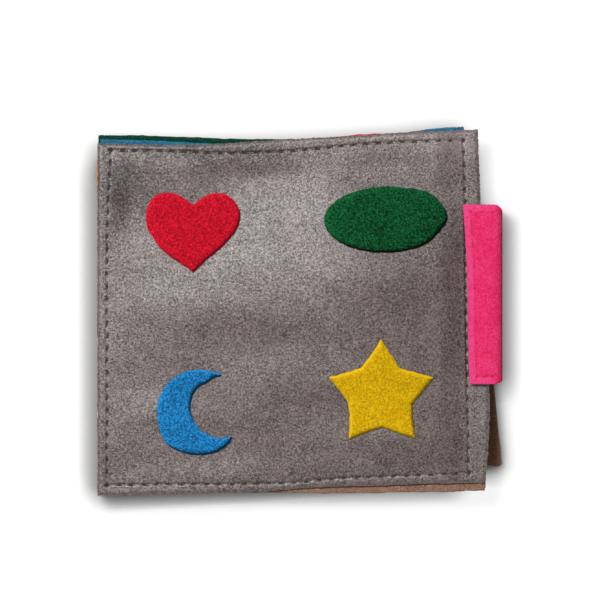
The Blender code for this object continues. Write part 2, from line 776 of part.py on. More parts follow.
def add_strap(felts, side_pivot, flap_pivot, cover_pivot):
    flare = (FLAP_FOOT_FLARE, FLAP_HEAD_FLARE)
    plain = (0.0, 0.0)
    add_object("strap_sewn_end", strap_base_mesh(), felts[PINK])
    add_object("strap_lower_bend", bend_mesh(LOWER_BEND_Z, 1, plain, plain), felts[PINK], side_pivot)
    add_object("strap_side", strap_wall_mesh(), felts[PINK], side_pivot)
    add_object("strap_upper_bend", bend_mesh(UPPER_BEND_Z, -1, flare, plain), felts[PINK], flap_pivot)
    add_object("strap_flap", flap_mesh(), felts[PINK], flap_pivot)
    tape = plain_material("hook_and_loop_tape", BLACK, TAPE_ROUGHNESS)
    add_object("hook_tape", solid_from_outline(tape_outline(), HOOK_Z, TAPE), tape, flap_pivot)
    add_object("loop_tape", solid_from_outline(tape_outline(), LOOP_Z, TAPE), tape, cover_pivot)


def felt_materials():
    named = {
        "grey": GREY,
        "tan": TAN,
        "brown": BROWN,
        "white": WHITE,
        "red": RED,
        "green": GREEN,
        "blue": BLUE,
        "yellow": YELLOW,
        "orange": ORANGE,
        "pink": PINK,
    }
    return {
        colour: plain_material(name + "_felt", colour, FELT_ROUGHNESS) for name, colour in named.items()
    }


def add_book():
    felts = felt_materials()
    hinge = (HINGE_X, 0.0, HINGE_Z)
    bodies = ["front_cover", *[leaf[0] for leaf in LEAVES]]
    pivots = {body: add_pivot(body + "_pivot", hinge) for body in bodies}
    side_pivot = add_pivot("strap_side_pivot", (BEND_X, STRAP_Y, LOWER_BEND_Z))
    flap_pivot = add_pivot("strap_flap_pivot", (BEND_X, STRAP_Y, UPPER_BEND_Z), side_pivot)
    add_back_cover(felts)
    add_bound_edges(felts)
    add_turning_sheets(felts, pivots)
    add_cutouts(felts, pivots["front_cover"])
    add_strap(felts, side_pivot, flap_pivot, pivots["front_cover"])


clear_scene()
add_book()
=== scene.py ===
"""Looks of the closed felt activity book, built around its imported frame."""

import json
import math
import random

import bmesh
import bpy
import numpy as np
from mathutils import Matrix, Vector, geometry


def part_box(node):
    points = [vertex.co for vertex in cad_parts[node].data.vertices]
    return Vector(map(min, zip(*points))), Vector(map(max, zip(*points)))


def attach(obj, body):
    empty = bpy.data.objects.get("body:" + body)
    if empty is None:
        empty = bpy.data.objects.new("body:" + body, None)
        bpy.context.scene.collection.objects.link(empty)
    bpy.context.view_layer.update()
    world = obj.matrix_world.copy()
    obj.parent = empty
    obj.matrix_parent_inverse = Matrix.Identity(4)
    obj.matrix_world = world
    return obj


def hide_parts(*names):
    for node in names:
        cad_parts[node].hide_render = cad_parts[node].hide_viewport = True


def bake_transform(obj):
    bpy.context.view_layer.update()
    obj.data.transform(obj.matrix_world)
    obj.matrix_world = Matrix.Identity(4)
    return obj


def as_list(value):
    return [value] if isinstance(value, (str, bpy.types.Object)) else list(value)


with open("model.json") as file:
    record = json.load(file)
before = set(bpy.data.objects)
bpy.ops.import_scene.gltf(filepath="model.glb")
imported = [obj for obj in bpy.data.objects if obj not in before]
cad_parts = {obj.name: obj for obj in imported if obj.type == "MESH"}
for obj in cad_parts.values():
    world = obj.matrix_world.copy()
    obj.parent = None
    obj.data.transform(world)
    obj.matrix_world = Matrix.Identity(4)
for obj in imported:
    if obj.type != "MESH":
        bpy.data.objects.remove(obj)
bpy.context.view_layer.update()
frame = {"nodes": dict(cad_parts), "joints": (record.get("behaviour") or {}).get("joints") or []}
MM = 0.001

# The photograph: its side in pixels, the length that a pixel covers on the cover, and where the origin lies
PHOTO_SIDE = 600
PIXEL = 0.41 * MM
ORIGIN_PIXEL = (300, 311.5)
CAMERA_HEIGHT = 6.0
SENSOR = 36.0

# Places read from the frame
SPINE_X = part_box("front_cover_felt_bound_edge")[0].x
HINGE_X = next(j["pos_m"] for j in frame["joints"] if j["name"] == "front_cover_turn")[0]
COVER_EDGE_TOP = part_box("front_cover_felt_bound_edge")[1].z
COVER_THICKNESS = 1.5 * MM
COVER_LEVEL = COVER_EDGE_TOP - COVER_THICKNESS

# Reading the solids: points closer than this are one, a wall leans less than this, and a turning sheet's
# outline leaves out its join with the bound strip
SAME_PLACE = 0.001 * MM
WALL_LEAN = 0.3
JOIN_REACH = 0.5 * MM

# The swell of the closed book, as the solids have it: four gentle waves
SWELL_MEAN = 1.5 * MM
SWELL_WAVES = (
    (1.2 * MM, 1.04, 0.47, 0.017),
    (1.7 * MM, 0.59, -1.55, 0.669),
    (1.7 * MM, 0.01, 0.85, 0.723),
    (0.8 * MM, 1.12, -1.88, 0.047),
)
SWELL_FADE = 0.30
SWELL_SPINE = 0.07
SWELL_FORE = 0.05
COVER_REACH = 161 * MM
COVER_DEPTH = 143.4 * MM
FOOT_Y = -75.5 * MM
SWELL_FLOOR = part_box("back_cover_lining")[0].z

# The seams, as the photograph shows them: needle holes at an even pitch along hand-guided lines
HEAD_SEAM_PIXELS = ((110.5, 150), (160, 150.5), (200, 151.9), (225, 152.8), (260, 152.2), (300, 150))
HEAD_SEAM_PIXELS += ((350, 145), (400, 142), (430, 141), (464, 140.5))
FOOT_SEAM_PIXELS = ((106.8, 484.8), (200, 484), (262, 483.6), (298, 482), (332, 479), (359, 477.4))
FOOT_SEAM_PIXELS += ((398, 476), (431, 474.5), (469, 473))
FORE_SEAM_PIXELS = ((463.5, 140), (465, 200), (466, 300), (467.5, 400), (469, 474))
SPINE_SEAM_PIXELS = ((110.6, 150), (110.4, 160), (109.9, 175), (108.8, 195), (107.6, 225), (107, 250))
SPINE_SEAM_PIXELS += ((107, 350), (106.8, 485))
STITCH_PITCH = 5.08 * MM
NEEDLE_SWAY = 0.10 * MM
SEAM_STEPS = 80
CROSSING_ROUNDS = 12
GROOVE_DEPTH = 0.20 * MM
GROOVE_WIDTH = 0.50 * MM
SPINE_GROOVE_SHARE = 0.3
HOLE_DEPTH = 0.55 * MM
HOLE_LENGTH = 0.80 * MM
HOLE_WIDTH = 0.32 * MM
# Painted shade in the needle holes: how much darker their colour is painted
HOLE_PAINTED_SHADE = -1.3
COVER_DEEPEST = 0.9 * MM

# Threads: size, how they lie in the nap, and how they dive at the needle holes
THREAD_RADIUS = 0.2 * MM
THREAD_SIDES = 6
THREAD_STEPS = 9
THREAD_FLATNESS = 1.2
THREAD_END_SHARES = (0.03, 0.97)
DIVE_DEPTH = 0.9 * MM
DIVE_POWER = 0.35
COVER_SINK = 0.36 * MM
LINING_SINK = 0.15 * MM
LEAF_SINK = 0.05 * MM

# The seams of the leaves and of the back cover
LEAF_SEAM_INSET = 4.6 * MM
LEAF_SEAM_STEPS = 60
PAST_HINGE = 1 * MM
LEAF_GROOVE_SHARE = 0.6
LEAF_HOLE_SHARE = 0.5
LEAF_DEEPEST = 0.6 * MM

# Where the photograph's cover is lighter or darker than the rest: a place, its reach, how steeply it ends
# across, and its tone. They are the fore corner at the head, a band under the head's seam, and the corner
# at the spine and the head.
# Painted light and shade: these patches paint the cover's colour lighter or darker where light and shade fall
# on it.
COVER_PAINTED_LIGHT_AND_SHADE = (
    ((61 * MM, 69 * MM), (14 * MM, 6 * MM), 2, 0.40),
    ((-31 * MM, 65 * MM), (32 * MM, 4 * MM), 4, -0.30),
    ((-72 * MM, 52 * MM), (13 * MM, 14 * MM), 2, -0.32),
)
SPINE_TONE = -0.04
SPINE_TONE_REACH = 1 * MM

# How the sewing draws the sheets together
PINCH_FORE = 1.7 * MM
PINCH_FORE_RISE = 12 * MM
PINCH_ENDS = 0.6 * MM
PINCH_ENDS_RISE = 18 * MM
LINING_CURL = 0.9 * MM
LINING_CURL_RISE = 10 * MM
LINING_SHOW_SHARE = 0.8
LINING_DEEPEST = 0.7 * MM
STIFFENER_THINNEST = 0.15 * MM
STIFFENER_CURL = 0.5 * MM

# Felt
RIM_BULGE = 0.22 * MM
RIM_SHARES = (0.78, 0.22)
RIM_RAGGED_SHARE = 0.5
CUT_WOBBLE = 0.07 * MM
FORE_WAVES = (7 * MM, 13 * MM, 29 * MM)
SPINE_WAVES = (11 * MM, 23 * MM)
FOOT_WAVES = (8 * MM, 15 * MM, 31 * MM)
HEAD_WAVES = (6 * MM, 14 * MM, 33 * MM)
SPINE_WOBBLE_SHARE = 0.5
EDGE_DROP = 0.36 * MM
EDGE_DROP_REACH = 1.5 * MM
UNDER_DROP_SHARE = 0.4
# Painted highlight along cut edges: how far in it reaches and how much lighter it paints them
EDGE_HIGHLIGHT_REACH = 0.9 * MM
EDGE_PAINTED_HIGHLIGHT = 0.25

# The soft felt's own slight unevenness: height of each wave, and how many lie in a tenth of a metre
RIPPLES = (
    (0.17 * MM, -1.70, 0.35, 0.000),
    (0.17 * MM, 1.67, 1.57, 0.918),
    (0.60 * MM, -0.12, 1.28, 0.988),
    (0.13 * MM, -0.63, 2.69, 0.807),
    (0.07 * MM, 0.47, 4.44, 0.177),
    (0.36 * MM, 0.14, -1.68, 0.398),
    (0.07 * MM, -3.23, -0.01, 0.400),
)
RIPPLE_SPAN = 100 * MM
RIPPLE_RISE = 10 * MM
RIPPLE_SPINE_MARGIN = 4 * MM

# How far from the hinge line each body's felt would bend when it turns; carry takes it but bends nothing
COVER_BEND = 22 * MM
LEAF_BEND = 36 * MM


def wave_noise(t, seed, wavelengths):
    """Smooth noise along one length, about -1 to 1: a few sine waves with seeded phases."""
    rng = random.Random(seed)
    total = np.zeros_like(np.asarray(t, float))
    for length in wavelengths:
        total = total + np.sin(math.tau * (np.asarray(t) / length + rng.random()))
    return total / math.sqrt(len(wavelengths))


def plane_noise(x, y, seed, wavelength, waves=7):
    """Smooth noise over a plane, about -1 to 1: plane waves in seeded directions."""
    rng = random.Random(seed)
    total = np.zeros_like(x)
    for _ in range(waves):
        turn = rng.random() * math.tau
        length = wavelength * (0.7 + 0.8 * rng.random())
        phase = rng.random()
        total = total + np.sin(math.tau * ((x * math.cos(turn) + y * math.sin(turn)) / length + phase))
    return total / math.sqrt(waves)


def eased(share):
    """A share from 0 to 1 that starts and ends gently."""
    share = np.clip(share, 0.0, 1.0)
    return share * share * (3 - 2 * share)


def swell(x, y):
    """How high the closed book swells at the level of its cover."""
    over = (x - SPINE_X) / COVER_REACH
    up = (y - FOOT_Y) / COVER_DEPTH
    fade = eased((over - SWELL_SPINE) / SWELL_FADE) * eased((1 - SWELL_FORE - over) / SWELL_FADE)
    fade = fade * eased(up / SWELL_FADE) * eased((1 - up) / SWELL_FADE)
    rise = SWELL_MEAN
    for height, i, j, phase in SWELL_WAVES:
        rise = rise + height * np.cos(math.tau * (i * over + j * up + phase))
    return fade * rise


def lift_share(level):
    """The back cover lies flat, and each layer above it takes more of the swell."""
    return max(level - SWELL_FLOOR, 0.0) / (COVER_LEVEL - SWELL_FLOOR)


def smooth_curve(places, values):
    """A smooth curve through points, as a function."""
    slopes = np.gradient(values, places)

    def at(place):
        place = np.clip(place, places[0], places[-1])
        i = np.clip(np.searchsorted(places, place) - 1, 0, len(places) - 2)
        span = places[i + 1] - places[i]
        t = (place - places[i]) / span
        rise = values[i + 1] - values[i]
        start, end = slopes[i] * span, slopes[i + 1] * span
        return values[i] + t * (start + t * (3 * rise - 2 * start - end + t * (start + end - 2 * rise)))

    return at


def rim_loop(node):
    """The points round the top edge of a CAD solid, in order, seen from above."""
    solid = bmesh.new()
    solid.from_mesh(frame["nodes"][node].data)
    bmesh.ops.remove_doubles(solid, verts=solid.verts, dist=SAME_PLACE)
    joined = {}
    for edge in solid.edges:
        steep = sorted(face.normal.z for face in edge.link_faces)
        if len(steep) == 2 and abs(steep[0]) < WALL_LEAN < steep[1]:
            one, other = edge.verts
            joined.setdefault(one, []).append(other)
            joined.setdefault(other, []).append(one)
    loop = [next(iter(joined))]
    while True:
        onward = [v for v in joined[loop[-1]] if v not in loop[-2:]]
        if not onward or onward[0] is loop[0]:
            break
        loop.append(onward[0])
    points = np.array([v.co.xy for v in loop])
    solid.free()
    area = np.sum(points[:, 0] * np.roll(points[:, 1], -1) - np.roll(points[:, 0], -1) * points[:, 1])
    return points if area > 0 else points[::-1]


class Outline:
    """Head, foot and fore-edge of a sheet, read from the solids of its CAD nodes."""

    def __init__(self, nodes, seed):
        points = np.vstack([rim_loop(node) for node in nodes])
        if len(nodes) > 1:
            points = points[np.abs(points[:, 0] - HINGE_X) > JOIN_REACH]
        corner = {
            (i, j): points[np.argmax(i * points[:, 0] + j * points[:, 1])] for i in (-1, 1) for j in (-1, 1)
        }
        sides = {
            "head": (corner[-1, 1], corner[1, 1]),
            "foot": (corner[-1, -1], corner[1, -1]),
            "fore": (corner[1, -1], corner[1, 1]),
            "spine": (corner[-1, -1], corner[-1, 1]),
        }
        gaps = []
        for start, end in sides.values():
            along = (end - start) / np.linalg.norm(end - start)
            gaps.append(np.abs((points - start) @ np.array([-along[1], along[0]])))
        nearest = np.argmin(gaps, axis=0)
        curves = []
        for i, (name, ends) in enumerate(sides.items()):
            chain = np.vstack([points[nearest == i], *ends])
            axis = 0 if name in ("head", "foot") else 1
            places, first = np.unique(np.round(chain[:, axis], 5), return_index=True)
            curves.append(smooth_curve(places, chain[first, 1 - axis]))
        self.head, self.foot, self.fore, _ = curves
        self.spine = points[:, 0].min()
        self.fore_low = corner[1, -1][1]
        self.fore_high = corner[1, 1][1]
        self.seed = seed

    def grid(self, parts, ups, inset=0.0, spine_push=None, head_push=None, foot_push=None):
        """Places of a grid over the sheet, drawn in from its edges, with the wobble of hand cutting.
        A push moves an edge outward."""
        u, v = np.meshgrid(parts, ups, indexing="ij")
        height = self.fore_high - self.fore_low
        fore = self.fore(self.fore_low + v * height) - inset
        fore = fore + CUT_WOBBLE * wave_noise(v * height, self.seed, FORE_WAVES)
        wobble = SPINE_WOBBLE_SHARE * CUT_WOBBLE * wave_noise(v * height, self.seed + 1, SPINE_WAVES)
        spine = self.spine + inset + wobble
        if spine_push is not None:
            spine = spine - spine_push(v)
        x = spine + u * (fore - spine)
        foot = self.foot(x) + inset + CUT_WOBBLE * wave_noise(x, self.seed + 2, FOOT_WAVES)
        head = self.head(x) - inset + CUT_WOBBLE * wave_noise(x, self.seed + 3, HEAD_WAVES)
        if head_push is not None:
            head = head + head_push(x)
        if foot_push is not None:
            foot = foot - foot_push(x)
        return x, foot + v * (head - foot)

    def inward(self, x, y):
        """Distances in from the head, the foot and the fore-edge."""
        return self.head(x) - y, y - self.foot(x), self.fore(y) - x


def graded_lines(length, fine_start, fine_end, fine, coarse):
    """Places from 0 to 1 along a length, closer together in a band at each end."""
    start = np.arange(0, fine_start, fine)
    end = length - np.arange(0, fine_end, fine)[::-1]
    count = round((length - fine_start - fine_end) / coarse) + 1
    inner = np.linspace(fine_start, length - fine_end, max(2, count))
    lines = np.concatenate([start, inner, end]) / length
    return np.unique(np.round(lines, 6))


def new_piece(name, points, faces, material, slot, tone=None):
    """A mesh object whose points remember, for its material, where they lie at rest and how light they are:
    above zero where a highlight is painted on cut edges, below zero where shade is painted in needle holes."""
    mesh = bpy.data.meshes.new(name)
    mesh.from_pydata(np.asarray(points).tolist(), [], [tuple(int(i) for i in face) for face in faces])
    rest = mesh.attributes.new("rest_place", "FLOAT_VECTOR", "POINT")
    rest.data.foreach_set("vector", np.asarray(points, np.float32).ravel())
    tone = np.zeros(len(points)) if tone is None else tone
    mesh.attributes.new("tone", "FLOAT", "POINT").data.foreach_set("value", tone.astype(np.float32))
    mesh.materials.append(material)
    mesh.shade_smooth()
    mesh.validate()
    piece = bpy.data.objects.new(name, mesh)
    bpy.context.scene.collection.objects.link(piece)
    return piece


def ring_indices(rows, columns):
    """Indices round the border of a grid, in order."""
    ring = [(i, 0) for i in range(rows)]
    ring += [(rows - 1, j) for j in range(1, columns)]
    ring += [(i, columns - 1) for i in range(rows - 2, -1, -1)]
    ring += [(0, j) for j in range(columns - 2, 0, -1)]
    return np.array([i * columns + j for i, j in ring])


def rim_faces(ring, count):
    """Quads from the border of a piece's top, over two loops of its rim, to the border of its bottom."""
    order = np.arange(len(ring))
    loops = [ring, 2 * count + order, 2 * count + len(ring) + order, ring + count]
    pairs = zip(loops, loops[1:])
    return np.vstack([np.stack([a, b, np.roll(b, -1), np.roll(a, -1)], 1) for a, b in pairs])


def closed_sheet(top, bottom, seed, bulge=RIM_BULGE):
    """Points and faces of a sheet between two grids of points, with a rounded, slightly ragged cut edge."""
    rows, columns = top.shape[:2]
    count = rows * columns
    upper = top.reshape(-1, 3)
    lower = bottom.reshape(-1, 3)
    index = np.arange(count).reshape(rows, columns)
    a, b = index[:-1, :-1].ravel(), index[1:, :-1].ravel()
    c, d = index[1:, 1:].ravel(), index[:-1, 1:].ravel()
    faces = [np.stack([a, b, c, d], 1), np.stack([a, d, c, b], 1) + count]
    ring = ring_indices(rows, columns)
    inner = top[1:-1, 1:-1] if rows > 2 and columns > 2 else top
    middle = inner.reshape(-1, 3).mean(0)
    along = np.roll(upper[ring], -1, 0) - np.roll(upper[ring], 1, 0)
    through = upper[ring] - lower[ring]
    out = np.cross(along, through)
    out /= np.linalg.norm(out, axis=1)[:, None]
    if np.sum((upper[ring] - middle) * out) < 0:
        out = -out
    rng = np.random.default_rng(seed)
    rims = []
    for share in RIM_SHARES:
        push = bulge * (1 + RIM_RAGGED_SHARE * rng.standard_normal(len(ring)))
        rims.append(lower[ring] + share * through + out * push[:, None])
    return np.vstack([upper, lower, *rims]), np.vstack([*faces, rim_faces(ring, count)])


def fix_normals(piece):
    mesh = bmesh.new()
    mesh.from_mesh(piece.data)
    bmesh.ops.recalc_face_normals(mesh, faces=mesh.faces)
    mesh.to_mesh(piece.data)
    mesh.free()


def holes_along(points, pitch=STITCH_PITCH):
    """Needle holes at an even pitch along a line of points."""
    steps = np.linalg.norm(np.diff(points, axis=0), axis=1)
    length = np.concatenate([[0], np.cumsum(steps)])
    count = max(2, round(length[-1] / pitch) + 1)
    places = np.linspace(0, length[-1], count)
    return np.stack([np.interp(places, length, points[:, i]) for i in range(2)], 1)


def pits(x, y, holes, slants, length=HOLE_LENGTH, width=HOLE_WIDTH):
    """How deep a point lies in the nearest needle hole, from 0 to 1. A hole is longer along its seam."""
    deepest = np.zeros_like(x)
    for (hole_x, hole_y), (along_x, along_y) in zip(holes, slants):
        off_x, off_y = x - hole_x, y - hole_y
        along = off_x * along_x + off_y * along_y
        across = off_y * along_x - off_x * along_y
        deepest = np.maximum(deepest, np.exp(-((along / length) ** 2) - (across / width) ** 2))
    return deepest


def tube_faces(base, rings, sides):
    """Faces of a closed tube whose points start at base, ring after ring."""
    faces = []
    for step in range(rings - 1):
        for k in range(sides):
            one, two = base + step * sides + k, base + step * sides + (k + 1) % sides
            faces.append((one, two, two + sides, one + sides))
    last = base + (rings - 1) * sides
    for k in range(1, sides - 1):
        faces.append((base, base + k + 1, base + k))
        faces.append((last, last + k, last + k + 1))
    return faces


def stitches(name, runs, surface, slot, facing=1, sink=0.10 * MM, radius=THREAD_RADIUS):
    """Threads from needle hole to needle hole. They lie sunk in the nap and dive at each hole."""
    points = []
    faces = []
    shares = np.linspace(*THREAD_END_SHARES, THREAD_STEPS)
    dives = 1 - np.sin(np.pi * shares) ** DIVE_POWER
    for holes in runs:
        for start, end in zip(holes, holes[1:]):
            faces += tube_faces(len(points), THREAD_STEPS, THREAD_SIDES)
            run = end - start
            side = np.array([-run[1], run[0]]) / np.linalg.norm(run)
            centres = start + shares[:, None] * run
            heights = surface(centres[:, 0], centres[:, 1])
            for centre, height, dive in zip(centres, heights, dives):
                middle = height - facing * (sink + dive * DIVE_DEPTH)
                for k in range(THREAD_SIDES):
                    angle = math.tau * k / THREAD_SIDES
                    flat = centre + side * radius * THREAD_FLATNESS * math.cos(angle)
                    points.append((flat[0], flat[1], middle + radius * math.sin(angle)))
    piece = new_piece(name, points, faces, THREADS[slot], slot)
    fix_normals(piece)
    return piece


# Materials

GRAIN_SIZE = 0.45 * MM
FIBRE_SIZE = 0.30 * MM
BLOTCH_SIZE = 3.8 * MM
WIDE_SIZE = 24 * MM
GRAIN_SHARE = 0.6
FIBRE_SHARE = 0.3
WIDE_SHARE = 0.1
HAIR_SHARES = (0.7, 0.3)
TONE_SPREAD = 0.11
FIBRE_RANGE = (0.3, 0.7)
FELT_ROUGHNESS_RANGE = (0.67, 0.53)
FELT_GLOSS = 0.05
FELT_SHEEN_ROUGHNESS = 0.5
SHINE_SHARES = (0.35, 1.65)
SHINE_ROUGHNESS = 0.37
SHINE_IOR = 1.7
SHINE_RELIEF = 0.15 * MM
PLY_SCALE = 600.0
PLY_SHADE = 0.55
PLY_RELIEF = 0.08 * MM
THREAD_ROUGHNESS = 0.6


def linear(*rgb):
    """A colour given as 0 to 255 on screen, as the linear values that a shader takes."""
    shares = [value / 255 for value in rgb]
    return [s / 12.92 if s <= 0.04045 else ((s + 0.055) / 1.055) ** 2.4 for s in shares] + [1.0]


def times(colour, factor, lift=0.0):
    """A colour made darker or lighter."""
    return [min(1.0, c * factor + lift) for c in colour[:3]] + [1.0]


def node(tree, kind, **settings):
    """A new node. Each setting is one of its sockets or of its own values."""
    made = tree.nodes.new(kind)
    for name, value in settings.items():
        if name in made.inputs:
            made.inputs[name].default_value = value
        else:
            setattr(made, name, value)
    return made


def noise_at(tree, place, size, detail, roughness=0.55, distortion=0.0):
    """Noise with features of about the given size."""
    made = node(tree, "ShaderNodeTexNoise", Scale=0.6 / size, Detail=detail, Roughness=roughness)
    made.inputs["Distortion"].default_value = distortion
    tree.links.new(place, made.inputs["Vector"])
    return made.outputs["Fac"]


def mixed(tree, kind, one, other):
    """A sum, product or the like of two values or sockets."""
    made = node(tree, "ShaderNodeMath", operation=kind)
    for socket, value in zip(made.inputs, (one, other)):
        if isinstance(value, (int, float)):
            socket.default_value = value
        else:
            tree.links.new(value, socket)
    return made.outputs[0]


def weighed(tree, *pairs):
    """The sum of values times their weights."""
    total = mixed(tree, "MULTIPLY", *pairs[0])
    for value, weight in pairs[1:]:
        total = mixed(tree, "ADD", total, mixed(tree, "MULTIPLY", value, weight))
    return total


def stretched(tree, value, low, high, to_low, to_high):
    """A value's range stretched to another one."""
    made = node(tree, "ShaderNodeMapRange")
    for name, number in zip(("From Min", "From Max", "To Min", "To Max"), (low, high, to_low, to_high)):
        made.inputs[name].default_value = number
    tree.links.new(value, made.inputs["Value"])
    return made.outputs["Result"]


def fabric(name):
    """A new material, its nodes and its shader, and where each point of its piece lies at rest."""
    material = bpy.data.materials.new(name)
    material.use_nodes = True
    tree = material.node_tree
    place = node(tree, "ShaderNodeAttribute", attribute_name="rest_place").outputs["Vector"]
    return material, tree, tree.nodes["Principled BSDF"], place


def coloured(tree, shader, share, *colours):
    """Base colour by a share: the colours lie evenly from 0 to 1."""
    ramp = node(tree, "ShaderNodeValToRGB")
    stops = ramp.color_ramp.elements
    stops[0].color = colours[0]
    stops[1].color = colours[-1]
    for i, colour in enumerate(colours[1:-1], 1):
        stops.new(i / (len(colours) - 1)).color = colour
    tree.links.new(share, ramp.inputs["Fac"])
    tree.links.new(ramp.outputs["Color"], shader.inputs["Base Color"])


def raised(tree, shader, height, distance, strength=1.0, socket="Normal", invert=False):
    """Fine relief by a height, for the shader or for its coat alone."""
    bump = node(tree, "ShaderNodeBump", Strength=strength, Distance=distance)
    bump.invert = invert
    tree.links.new(height, bump.inputs["Height"])
    tree.links.new(bump.outputs["Normal"], shader.inputs[socket])


def felt(name, tones, sheen=0.0, shine=0.0, relief=0.9 * MM, blotch=0.10):
    """Pressed felt: tangled fibres seen as grain, blotches where the nap lies differently, a soft shine. The
    tone of a piece's points paints light and shade into it, lighter or darker. The shine is less in its dark
    grains."""
    material, tree, shader, place = fabric(name)
    tone = node(tree, "ShaderNodeAttribute", attribute_name="tone").outputs["Fac"]
    grain = noise_at(tree, place, GRAIN_SIZE, 2.0, 0.6, 0.6)
    fibres = noise_at(tree, place, FIBRE_SIZE, 2.0, 0.7, 2.4)
    patch = noise_at(tree, place, BLOTCH_SIZE, 2.0, 0.5, 0.4)
    wide = noise_at(tree, place, WIDE_SIZE, 1.0, 0.5, 0.0)
    weights = (GRAIN_SHARE, FIBRE_SHARE, blotch, WIDE_SHARE - blotch / 2)
    fuzz = weighed(tree, *zip((grain, fibres, patch, wide), weights))
    middle = sum(weights) / 2
    share = stretched(tree, fuzz, middle - TONE_SPREAD, middle + TONE_SPREAD, 0.0, 1.0)
    share = mixed(tree, "ADD", share, tone)
    coloured(tree, shader, share, *tones)
    rough = stretched(tree, fibres, *FIBRE_RANGE, *FELT_ROUGHNESS_RANGE)
    tree.links.new(rough, shader.inputs["Roughness"])
    hairs = weighed(tree, *zip((grain, fibres), HAIR_SHARES))
    raised(tree, shader, hairs, relief)
    shader.inputs["Specular IOR Level"].default_value = FELT_GLOSS
    shader.inputs["Sheen Weight"].default_value = sheen
    shader.inputs["Sheen Roughness"].default_value = FELT_SHEEN_ROUGHNESS
    shader.inputs["Sheen Tint"].default_value = tones[2]
    if shine:
        coat = stretched(tree, share, 0.0, 1.0, *(part * shine for part in SHINE_SHARES))
        tree.links.new(coat, shader.inputs["Coat Weight"])
    shader.inputs["Coat Roughness"].default_value = SHINE_ROUGHNESS
    shader.inputs["Coat IOR"].default_value = SHINE_IOR
    raised(tree, shader, hairs, SHINE_RELIEF, socket="Coat Normal")
    return material


def shades(red, green, blue, down=0.62, up=1.5):
    """Dark, middle and light of one dyed felt."""
    middle = linear(red, green, blue)
    return times(middle, down), middle, times(middle, up, 0.004)


def thread(name, red, green, blue):
    """Spun thread: two plies that wind round it."""
    material, tree, shader, place = fabric(name)
    plies = node(tree, "ShaderNodeTexWave", Scale=PLY_SCALE, Distortion=1.5, bands_direction="DIAGONAL")
    tree.links.new(place, plies.inputs["Vector"])
    middle = linear(red, green, blue)
    coloured(tree, shader, plies.outputs["Fac"], times(middle, PLY_SHADE), middle)
    raised(tree, shader, plies.outputs["Fac"], PLY_RELIEF, 0.6)
    shader.inputs["Roughness"].default_value = THREAD_ROUGHNESS
    return material


DYES = {
    "grey_felt": (shades(86, 70, 67, 0.32, 2.1), {"sheen": 0.05, "shine": 0.72, "relief": 1.6 * MM}),
    "tan_felt": (shades(150, 116, 98), {}),
    "brown_felt": (shades(145, 107, 84), {}),
    "white_felt": (shades(212, 210, 204, 0.85, 1.1), {}),
    "red_felt": (shades(200, 20, 43, 0.50, 1.65), {"blotch": 0.03}),
    "green_felt": (shades(10, 69, 36, 0.10, 2.8), {"blotch": 0.05}),
    "deep_green_felt": (shades(8, 56, 42, 0.4, 2.0), {"blotch": 0.05}),
    "blue_felt": (shades(30, 119, 180, 0.28, 2.1), {"blotch": 0.05}),
    "deep_blue_felt": (shades(48, 108, 140, 0.5, 1.6), {"blotch": 0.05}),
    "yellow_felt": (shades(218, 175, 12, 0.62, 1.40), {"blotch": 0.08}),
    "orange_felt": (shades(222, 144, 84), {}),
    "pink_felt": (
        (linear(232, 38, 98), linear(250, 49, 110), linear(254, 80, 146)), {"sheen": 0.4, "blotch": 0.25}
    ),
}
THREAD_DYES = {
    "grey_felt": (84, 76, 74),
    "pink_felt": (222, 44, 104),
    "blue_felt": (26, 92, 146),
    "green_felt": (14, 62, 34),
    "red_felt": (160, 22, 36),
    "orange_felt": (176, 92, 30),
    "brown_felt": (58, 38, 28),
    "tan_felt": (112, 84, 70),
}
FELTS = {name: felt(name, tones, **look) for name, (tones, look) in DYES.items()}
THREADS = {slot: thread(slot.replace("felt", "thread"), *dye) for slot, dye in THREAD_DYES.items()}


# Seams


def pixel_x(x):
    """Where a column of the photograph lies."""
    return (x - ORIGIN_PIXEL[0]) * PIXEL


def pixel_y(y):
    """Where a row of the photograph lies."""
    return (ORIGIN_PIXEL[1] - y) * PIXEL


def photo_line(pixels, along_y=False):
    """A curve through points of the photograph: y at each x, or x at each y."""
    points = np.array([(pixel_x(x), pixel_y(y)) for x, y in pixels])
    if along_y:
        points = points[:, ::-1]
    points = points[np.argsort(points[:, 0])]
    return smooth_curve(points[:, 0], points[:, 1])


head_seam = photo_line(HEAD_SEAM_PIXELS)
foot_seam = photo_line(FOOT_SEAM_PIXELS)
fore_seam = photo_line(FORE_SEAM_PIXELS, along_y=True)
spine_seam = photo_line(SPINE_SEAM_PIXELS, along_y=True)


def crossing(across, along, x):
    """Where a seam that runs across meets one that runs up."""
    for _ in range(CROSSING_ROUNDS):
        y = across(x)
        x = along(y)
    return np.array([float(x), float(y)])


def seam_runs():
    """The cover's seam as runs of needle holes: foot, fore-edge, head and spine."""
    foot_start, foot_end = (crossing(foot_seam, side, 0.0) for side in (spine_seam, fore_seam))
    head_start, head_end = (crossing(head_seam, side, 0.0) for side in (spine_seam, fore_seam))
    runs = []
    for start, end, line in ((foot_start, foot_end, foot_seam), (head_start, head_end, head_seam)):
        x = np.linspace(start[0], end[0], SEAM_STEPS)
        runs.append(np.stack([x, line(x)], 1))
    for start, end, line in ((foot_end, head_end, fore_seam), (foot_start, head_start, spine_seam)):
        y = np.linspace(start[1], end[1], SEAM_STEPS)
        runs.append(np.stack([line(y), y], 1))
    return [holes_along(run) for run in runs]


def slants(run):
    """The direction of a run of holes at each hole."""
    way = np.gradient(run, axis=0)
    return way / np.linalg.norm(way, axis=1)[:, None]


def jittered(run, seed, amount=NEEDLE_SWAY):
    """Needle holes as a person sews them: nearly in line."""
    rng = np.random.default_rng(seed)
    return run + amount * rng.standard_normal(run.shape)


cover_runs = [jittered(run, 400 + i) for i, run in enumerate(seam_runs())]
cover_holes = np.vstack(cover_runs)
cover_slants = np.vstack([slants(run) for run in cover_runs])


